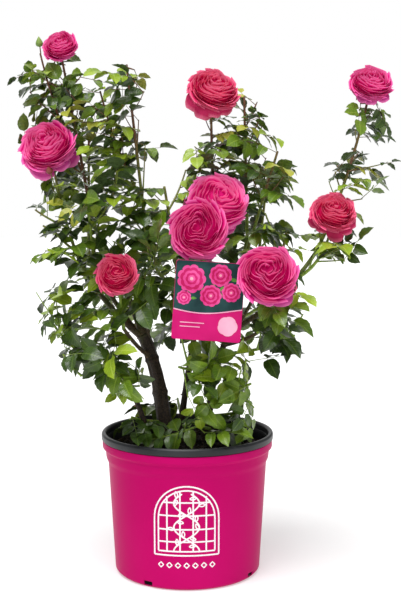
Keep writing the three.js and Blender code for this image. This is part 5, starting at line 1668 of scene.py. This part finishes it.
sepal_shapes, hip_shapes = [], []
for key, centre, faces, radius in nodding:
    hip, blades = hip_and_sepals(centre, faces, radius, key)
    hip_shapes.append(hip)
    sepal_shapes.append(blades)
sepals = np.concatenate(sepal_shapes)
sepal_faces = repeated(quads_of(SEPAL_ROWS, 3, flipped=True), SEPAL_ROWS * 3, len(sepals))
hip_points, hip_faces = joined(
    hip_shapes + [bud_shape(*BUDS[0]), (sepals.reshape(-1, 3), sepal_faces)])
sepal_green = two_tone("sepal_green", 0.5, 0.5, (40.0, 300.0), (0.10, 0.20, 0.03),
                       (0.24, 0.36, 0.07))
hips = put_piece("rose_hips_and_sepals", hip_points / 1000, [hip_faces], sepal_green)
bud_points, bud_faces = bud_shape(*BUDS[1])
bud_red = two_tone("bud_red", 0.5, 0.5, (70.0, 300.0), (0.14, 0.012, 0.02), (0.24, 0.05, 0.03))
bud = put_piece("rose_bud_red", bud_points / 1000, [bud_faces], bud_red)
short_stalks = [tube(Stalk(foot, tip, 0.5, (1.1, 0.9)), 6, 6, 0.0, 1.0) for tip, foot, _, _ in BUDS]
for key, centre, faces, radius in nodding:
    stalk = Stalk(shoots[key - 1]["stem"].at(1.0), centre - faces * 0.62 * radius, 0.4, (1.8, 2.1))
    short_stalks.append(tube(stalk, 8, 8, 0.0, 1.0, sink=3.0))
short_stalk_points, short_stalk_faces = joined_tubes(short_stalks)
bud_stalks = put_piece("rose_bud_stalks", short_stalk_points, short_stalk_faces,
                       young_wood_material)
for piece in (hips, bud, bud_stalks):
    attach(piece, "root")

# ============================================================ floor, light and camera
# Pale studio floor that meets a white surround, a large soft light over the plant and weaker ones
# from the front and the back. The surround is dimmer as a light than it looks.
FLOOR_HALF, FLOOR_UNDER, FLOOR_GLOW = 12.0, 0.0005, 0.42
SURROUND_LIGHT, SURROUND_SEEN = 0.36, 1.0
# name, where it comes from, power, softness in degrees
SUNS = [
    ("overhead_light", (-0.15, -0.35, 1.0), 3.3, 40.0),
    ("front_light", (0.25, -1.0, 0.35), 0.45, 70.0),
    ("back_light", (-0.2, 1.0, 0.55), 0.5, 60.0),
]
CAMERA_PLACE = (0.0214, -1.80, 0.623)
CAMERA_TILT_DEG = 84.26
CAMERA_LENS = 66.97

floor_points = np.array([[-1, -1, 0], [1, -1, 0], [1, 1, 0], [-1, 1, 0]], float) * FLOOR_HALF
floor_points[:, 2] = -FLOOR_UNDER
floor_material = two_tone("studio_floor", 0.9, 0.0, (1.0, 6.0), (0.60, 0.60, 0.60),
                          (0.63, 0.63, 0.63), (0.0, 1.0))
floor_shader = floor_material.node_tree.nodes["Principled BSDF"]
floor_shader.inputs["Emission Color"].default_value = (1.0, 1.0, 1.0, 1.0)
floor_shader.inputs["Emission Strength"].default_value = FLOOR_GLOW
floor = put_piece("studio_floor", floor_points, [np.array([[0, 1, 2, 3]])], floor_material,
                  smooth=False)

world = bpy.data.worlds.new("studio_white")
world.use_nodes = True
bpy.context.scene.world = world
background = world.node_tree.nodes["Background"]
background.inputs["Color"].default_value = (1.0, 1.0, 1.0, 1.0)
seen = world.node_tree.nodes.new("ShaderNodeLightPath")
brightness = world.node_tree.nodes.new("ShaderNodeMapRange")
brightness.inputs["To Min"].default_value = SURROUND_LIGHT
brightness.inputs["To Max"].default_value = SURROUND_SEEN
world.node_tree.links.new(seen.outputs["Is Camera Ray"], brightness.inputs["Value"])
world.node_tree.links.new(brightness.outputs["Result"], background.inputs["Strength"])
for name, comes_from, power, softness in SUNS:
    lamp_data = bpy.data.lights.new(name, "SUN")
    lamp_data.energy = power
    lamp_data.angle = math.radians(softness)
    lamp = bpy.data.objects.new(name, lamp_data)
    x, y, z = comes_from
    lamp.rotation_euler = (math.atan2(math.hypot(x, y), z), 0.0, math.atan2(y, x) + math.pi / 2)
    bpy.context.scene.collection.objects.link(lamp)

camera_data = bpy.data.cameras.new("studio_camera")
camera_data.lens = CAMERA_LENS
camera_data.sensor_width = 36.0
camera_data.sensor_fit = "AUTO"
camera_data.clip_end = 50.0
camera = bpy.data.objects.new("studio_camera", camera_data)
camera.location = CAMERA_PLACE
camera.rotation_euler = (math.radians(CAMERA_TILT_DEG), 0.0, 0.0)
bpy.context.scene.collection.objects.link(camera)
bpy.context.scene.camera = camera
bpy.context.scene.view_settings.view_transform = "Standard"
